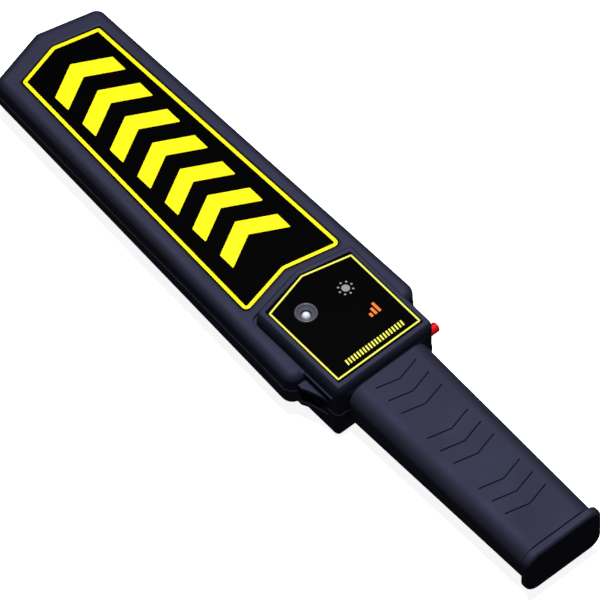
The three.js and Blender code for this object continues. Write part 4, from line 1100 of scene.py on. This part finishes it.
def turned(name, section, place, axis="Z", steps=SPIN_STEPS):
    """A solid of revolution about an axis through a place. The section is radius and height."""
    bpy.ops.object.select_all(action="DESELECT")
    bpy.ops.mesh.primitive_circle_add(vertices=len(section), radius=MM)
    piece = bpy.context.object
    piece.name = name
    for vertex, (radius, height) in zip(piece.data.vertices, section):
        vertex.co = (radius * MM, 0, height * MM)
    edit_all(piece)
    bpy.ops.mesh.spin(steps=steps, angle=2 * math.pi, center=(0, 0, 0), axis=(0, 0, 1))
    bpy.ops.mesh.select_all(action="SELECT")
    bpy.ops.mesh.remove_doubles(threshold=SPIN_WELD * MM)
    bpy.ops.mesh.delete_loose()
    object_mode()
    outward(piece)
    turn = {"Z": Matrix(), "X": Matrix.Rotation(math.pi / 2, 4, "Y"),
            "Y": Matrix.Rotation(-math.pi / 2, 4, "X")}[axis]
    piece.data.transform(Matrix.Translation(Vector(place) * MM) @ turn)
    return piece


def round_bar(name, radius, place, low, high, axis="Z"):
    """A round bar for cutting a hole."""
    section = [(0, low), (radius, low), (radius, high), (0, high)]
    return turned(name, section, place, axis, PLAIN_STEPS)


print("a turned piece has", SPIN_STEPS, "steps, a hole", PLAIN_STEPS)

# %% [markdown]
# Last come the openings: shallow recesses for the two films, holes for the lamp, the sounder,
# the slide knob and the button, and the wells that the screws sit in. The paddle's recess flares
# towards the top, so its film lies in a soft frame. Each cutter is a solid of its own, because
# a hole drawn into the big faces would leave long, thin ones round it.

# %% Cutters for the openings
HEAD_RECESS = both_sides([(0, 193.9, 1.5), (-27.03, 187.3, 1.5), (-33.07, 2.4, 3.0),
                          (0, 9.6, 1.5)])
FLARE = [(0, -0.8), (0, -0.5), (-0.3, -0.3), (-0.8, -0.1), (-1.4, 0), (-1.4, 2)]
PANEL_RECESS_IN = 4.6
PANEL_RECESS_DEPTH = 0.5
PANEL_CUTTER_RISE = 3
LAMP_HOLE = (4.3, (-13.2, -21.5, 0), 40, 46)
GRILLE_SECTION = [(0, 40), (4.2, 40), (4.2, 43.1), (5.5, 43.1), (5.5, 46), (0, 46)]
KNOB_SLOT = ((-36, -28.3), (-58.4, -48.8), (20.5, 24.5))
BUTTON_HOLE = (2.9, (0, -62.1, 26.5), 28.3, 40, "X")
WELL_RADIUS = 3.1
WELL_BOTTOM = -2
SCREW_HEAD = 2.5


def openings():
    """The openings that both shells share."""
    return [block_between("slot", *KNOB_SLOT), round_bar("button_hole", *BUTTON_HOLE)]


def screw_well(node):
    """The well below a screw's seat."""
    seat = box_mm(node)[0].z + SCREW_HEAD
    return round_bar("well", WELL_RADIUS, (*middle_mm(node)[:2], 0), WELL_BOTTOM, seat)


SCREWS = ["case_screw_" + str(number) for number in range(1, 8)]
upper_cutters = [
    lofted("head_recess", HEAD_RECESS, [
        (inset, lambda y, rise=rise: HEAD_TOP + rise) for inset, rise in FLARE]),
    plate("panel_recess", drawn_in(BLOCK, PANEL_RECESS_IN), BLOCK_TOP - PANEL_RECESS_DEPTH,
          PANEL_CUTTER_RISE),
    round_bar("lamp_hole", *LAMP_HOLE),
    turned("grille_hole", GRILLE_SECTION, (*middle_mm("sounder")[:2], 0), steps=PLAIN_STEPS),
    *openings()]
lower_cutters = [*openings(), *(screw_well(node) for node in SCREWS)]
print("cutters:", len(upper_cutters), "above,", len(lower_cutters), "below")

# %% [markdown]
# The cuts come first and the bevel of the paddle's seam last, because a boolean through small
# beveled faces can fail. Then each shell takes in its inner ribs and is handed over.

# %% Finishing the shells
SEAM_ROUND = 0.15
SHELL_SMOOTH = 35

for shell, cutters, node, sign in ((upper, upper_cutters, "upper_shell", -1),
                                   (lower, lower_cutters, "lower_shell", 1)):
    for cutter in cutters:
        cut(shell, cutter)
    round_rim(shell, lambda middle, face: face.normal.z * sign > 0.99
              and abs(middle.z / MM - HEAD_SEAM + SEAM_GAP * sign) < 2 * TINY, SEAM_ROUND, 2)
    shell = joined(shell.name, [shell, insides[node]])
    smooth(shell, SHELL_SMOOTH)
    stands_for(shell, node, shell_plastic)

# %% [markdown]
# The lamp sits in a grey ring with a funnel inside. From above, the funnel is the dark ring that
# frames the lamp's white dome. Both are round, so both are turned; only the lamp's two legs are
# small blocks.

# %% Lamp ring and lamp
RING_TOP = 1.3
RING_RADIUS = 6.0
RING_ROUND = 0.45
NECK_RADIUS = 4.0
LAMP_FLANGE = 2.9
FUNNEL_RADIUS = 5.2
FUNNEL_ROUND = 0.3
FUNNEL = [(4.55, 1.1), (LAMP_FLANGE, 1.9)]
LAMP_RADIUS = 2.5
LAMP_BELOW = 1.3
FLANGE_BELOW = 0.3
LEGS_BELOW = 0.8
LEG_OUT = 1.27
LEG_HALF = 0.25
TURNED_SMOOTH = 50

bezel_low, bezel_high = box_mm("led_bezel")
lamp_low, lamp_high = box_mm("status_led")
lamp_x, lamp_y = middle_mm("led_bezel")[:2]
rim_z, base_z = bezel_high.z, bezel_low.z
bezel = turned("led_bezel_ring", [
    (LAMP_FLANGE, base_z), (NECK_RADIUS, base_z), (NECK_RADIUS, rim_z - RING_TOP),
    (RING_RADIUS, rim_z - RING_TOP),
    *arc((RING_RADIUS - RING_ROUND, rim_z - RING_ROUND), RING_ROUND, 0, 90),
    *arc((FUNNEL_RADIUS, rim_z - FUNNEL_ROUND), FUNNEL_ROUND, 90, 150, 4),
    *((radius, rim_z - depth) for radius, depth in FUNNEL)], (lamp_x, lamp_y, 0))
smooth(bezel, TURNED_SMOOTH)
stands_for(bezel, "led_bezel", rim_plastic)

lamp = turned("status_lamp", [
    (0, base_z - LAMP_BELOW), (LAMP_FLANGE, base_z - LAMP_BELOW),
    (LAMP_FLANGE, base_z - FLANGE_BELOW), (LAMP_RADIUS, base_z - FLANGE_BELOW),
    *arc((0, lamp_high.z - LAMP_RADIUS), LAMP_RADIUS, 0, 90, 12)], (lamp_x, lamp_y, 0))
legs = [
    block_between("leg", (x - LEG_HALF, x + LEG_HALF), (lamp_y - LEG_HALF, lamp_y + LEG_HALF),
                  (lamp_low.z, base_z - LEGS_BELOW))
    for x in (lamp_x - LEG_OUT, lamp_x + LEG_OUT)]
lamp = joined("status_lamp", [lamp, *legs])
smooth(lamp, TURNED_SMOOTH)
stands_for(lamp, "status_led", lamp_material)

# %% [markdown]
# The push button is a red moulded cap with a domed face. Behind the housing's wall it has a
# wider flange, which keeps it in, and a thin stem that reaches the switch. It is turned too,
# about X.

# %% Push button
STEM_RADIUS = 1.0
FLANGE_RADIUS = 3.3
FLANGE_X = 30.9
FLANGE_THICKNESS = 1.2
BUTTON_RADIUS = 2.8
BUTTON_ROUND = 0.9

button_low, button_high = box_mm("push_button")
button = turned("push_button_cap", [
    (0, button_low.x), (STEM_RADIUS, button_low.x), (STEM_RADIUS, FLANGE_X - FLANGE_THICKNESS),
    (FLANGE_RADIUS, FLANGE_X - FLANGE_THICKNESS), (FLANGE_RADIUS, FLANGE_X),
    (BUTTON_RADIUS, FLANGE_X),
    *arc((BUTTON_RADIUS - BUTTON_ROUND, button_high.x - BUTTON_ROUND), BUTTON_ROUND, 0, 75),
    (0, button_high.x)], (0, *middle_mm("push_button")[1:]), "X")
smooth(button, TURNED_SMOOTH)
stands_for(button, "push_button", button_plastic)

# %% [markdown]
# The slide switch's knob is a small block with three grip grooves across it. Its edges are
# rounded a little, as every moulded edge is. A stem joins it to the switch inside.

# %% Slide knob
KNOB_INNER_X = -30.5
KNOB_ROUND = 0.4
KNOB_GROOVE_PITCH = 1.25
KNOB_GROOVE_HALF = 0.25
KNOB_GROOVE_DEPTH = 0.5
STEM_HALF_Y = 1.5
STEM_HALF_Z = 1
STEM_SUNK = 0.3
CLEARANCE = 1

knob_low, knob_high = box_mm("switch_knob")
knob_y, knob_z = middle_mm("switch_knob")[1:]
knob = block_between("switch_knob_cap", (knob_low.x, KNOB_INNER_X), (knob_low.y, knob_high.y),
                     (knob_low.z, knob_high.z))
round_rim(knob, lambda middle, face: face.normal.x < -FACING, KNOB_ROUND, 3)
cut(knob, joined("ribs", [
    block_between("rib", (knob_low.x - KNOB_GROOVE_DEPTH, knob_low.x + KNOB_GROOVE_DEPTH),
                  (y - KNOB_GROOVE_HALF, y + KNOB_GROOVE_HALF),
                  (knob_low.z - CLEARANCE, knob_high.z + CLEARANCE))
    for y in (knob_y + KNOB_GROOVE_PITCH * step for step in (-1, 0, 1))]))
cut(knob, block_between("stem", (KNOB_INNER_X - STEM_SUNK, knob_high.x),
                        (knob_y - STEM_HALF_Y, knob_y + STEM_HALF_Y),
                        (knob_z - STEM_HALF_Z, knob_z + STEM_HALF_Z)), "UNION")
smooth(knob)
stands_for(knob, "switch_knob", knob_plastic)

# %% [markdown]
# Seven screws hold the two shells together from below. A screw is spun with a domed head, and
# the cross recess is cut by two crossing slots. The thread is left out, because it is hidden in
# the boss. The screws differ in length and place, so one function makes each from its own box.

# %% Case screws
SHANK_RADIUS = 1.5
HEAD_RADIUS = 2.8
HEAD_DOME = 1.2
HEAD_HEIGHT = 2.2
SLOT_LONG = 1.5
SLOT_HALF = 0.4
SLOT_DEPTH = 1.1
TIP_LENGTH = 2


def case_screw(node):
    """A cross-head screw that fills a screw's place, with the head below."""
    low, high = box_mm(node)
    x, y = middle_mm(node)[:2]
    screw = turned(node + "_turned", [
        (0, low.z), *arc((HEAD_RADIUS - HEAD_DOME, low.z + HEAD_DOME), HEAD_DOME, -90, 0, 6),
        (HEAD_RADIUS, low.z + HEAD_HEIGHT), (SHANK_RADIUS, low.z + HEAD_HEIGHT),
        (SHANK_RADIUS, high.z - TIP_LENGTH), (0, high.z)], (x, y, 0), steps=PLAIN_STEPS)
    slots = [block_between("slot", (x - long, x + long), (y - short, y + short),
                           (low.z - CLEARANCE, low.z + SLOT_DEPTH))
             for long, short in ((SLOT_LONG, SLOT_HALF), (SLOT_HALF, SLOT_LONG))]
    cut(slots[0], slots[1], "UNION")
    cut(screw, slots[0])
    smooth(screw)
    stands_for(screw, node, zinc_steel)


for node in SCREWS:
    case_screw(node)

# %% [markdown]
# The battery shows when the cap is off. Its steel jacket is crimped over the end plates, which
# therefore lie a little lower than the rim, and two snap terminals stand on one end. The rim is
# an inset of each end whose middle is pushed in, which needs no second piece.

# %% Battery
TERMINAL_LENGTH = 2.1
TERMINAL_OUT = 6.35
TERMINAL_RADII = (2.8, 3.6)
TERMINAL_ROUND = 0.5
TERMINAL_WALL = 1.0
TERMINAL_FLOOR = 0.6
TERMINAL_SUNK = 1
JACKET_CORNER = 1.2
JACKET_RIM = 0.9
PLATE_DEPTH = 0.4

battery_low, battery_high = box_mm("battery")
shoulder_y = battery_high.y - TERMINAL_LENGTH
battery = block_between("battery_block", (-battery_high.x, battery_high.x),
                        (battery_low.y, shoulder_y), (battery_low.z, battery_high.z))
round_long_edges(battery, JACKET_CORNER, 5)
pick(battery, "FACE", lambda middle, face: abs(face.normal.y) > FACING)
bpy.ops.mesh.inset(thickness=JACKET_RIM * MM)
object_mode()
for end, push in ((battery_low.y, PLATE_DEPTH), (shoulder_y, -PLATE_DEPTH)):
    pick(battery, "FACE", lambda middle, face: abs(face.normal.y) > FACING
         and abs(middle.y / MM - end) < TINY and len(face.vertices) > 4)
    bpy.ops.mesh.extrude_region_move(TRANSFORM_OT_translate={"value": (0, push * MM, 0)})
    object_mode()
battery_pieces = [battery]
for x, radius in zip((-TERMINAL_OUT, TERMINAL_OUT), TERMINAL_RADII):
    rim = radius - TERMINAL_ROUND, TERMINAL_LENGTH - TERMINAL_ROUND
    battery_pieces.append(turned("terminal", [
        (0, -TERMINAL_SUNK), (radius, -TERMINAL_SUNK), *arc(rim, TERMINAL_ROUND, 0, 90, 4),
        (radius - TERMINAL_WALL, TERMINAL_LENGTH), (radius - TERMINAL_WALL, TERMINAL_FLOOR),
        (0, TERMINAL_FLOOR)], (x, shoulder_y, middle_mm("battery")[2]), "Y", PLAIN_STEPS))
battery = joined("battery_block", battery_pieces)
smooth(battery)
stands_for(battery, "battery", battery_jacket)

# %% [markdown]
# The floor is a plain pale sheet lit from behind, as a photographer's light table is, so that
# nearly no shadow shows on it. It neither lights the wand nor shows in its gloss.

# %% Floor
FLOOR_SIZE = 8.0


def floor_material():
    """Pale matt paper on a light table, with the faintest mottling."""
    material, tree, place, surface = new_material("pale_backlit_paper")
    mottle = add(tree, "TexNoise", {"Vector": place, "Scale": per_metre(90.0), "Detail": 3.0})
    light = add(tree, "MapRange", {"Value": mottle.outputs["Fac"], "To Min": 0.99, "To Max": 1.01})
    shade = add(tree, "HueSaturation", {"Color": linear("#f6f6f6"),
                                        "Value": light.outputs["Result"]})
    paper = add(tree, "BsdfPrincipled", {
        "Base Color": shade.outputs["Color"], "Roughness": 0.9,
        "Emission Color": linear("#ffffff"), "Emission Strength": 0.9})
    tree.links.new(paper.outputs["BSDF"], surface)
    return material


bpy.ops.mesh.primitive_plane_add(size=FLOOR_SIZE, location=(0, 0, 0))
floor = bpy.context.object
floor.name = "floor"
floor.data.materials.append(floor_material())
floor.visible_diffuse = False
floor.visible_glossy = False
print("floor", FLOOR_SIZE, "m wide")

# %% [markdown]
# One soft light hangs straight above the wand. Faces that look up are lit evenly, the sides fall
# away into near black, and the rounded edges between them carry a soft highlight. A second light
# from the side would fill the sides, but the reference has them dark.

# %% Lights
LIGHT_HEIGHT = 1.6
LIGHT_SIZE = 0.5
LIGHT_POWER = 28
WORLD_STRENGTH = 0.035

place = Vector((0.0, 0.0, LIGHT_HEIGHT))
bpy.ops.object.light_add(type="AREA", location=place)
overhead = bpy.context.object
overhead.name = "overhead"
overhead.data.size = LIGHT_SIZE
overhead.data.energy = LIGHT_POWER
overhead.rotation_euler = (AIM - place).to_track_quat("-Z", "Y").to_euler()
world = bpy.data.worlds.new("studio")
bpy.context.scene.world = world
world.use_nodes = True
world.node_tree.nodes["Background"].inputs["Color"].default_value = (1, 1, 1, 1)
world.node_tree.nodes["Background"].inputs["Strength"].default_value = WORLD_STRENGTH
print("light of", LIGHT_POWER, "W at", LIGHT_HEIGHT, "m")
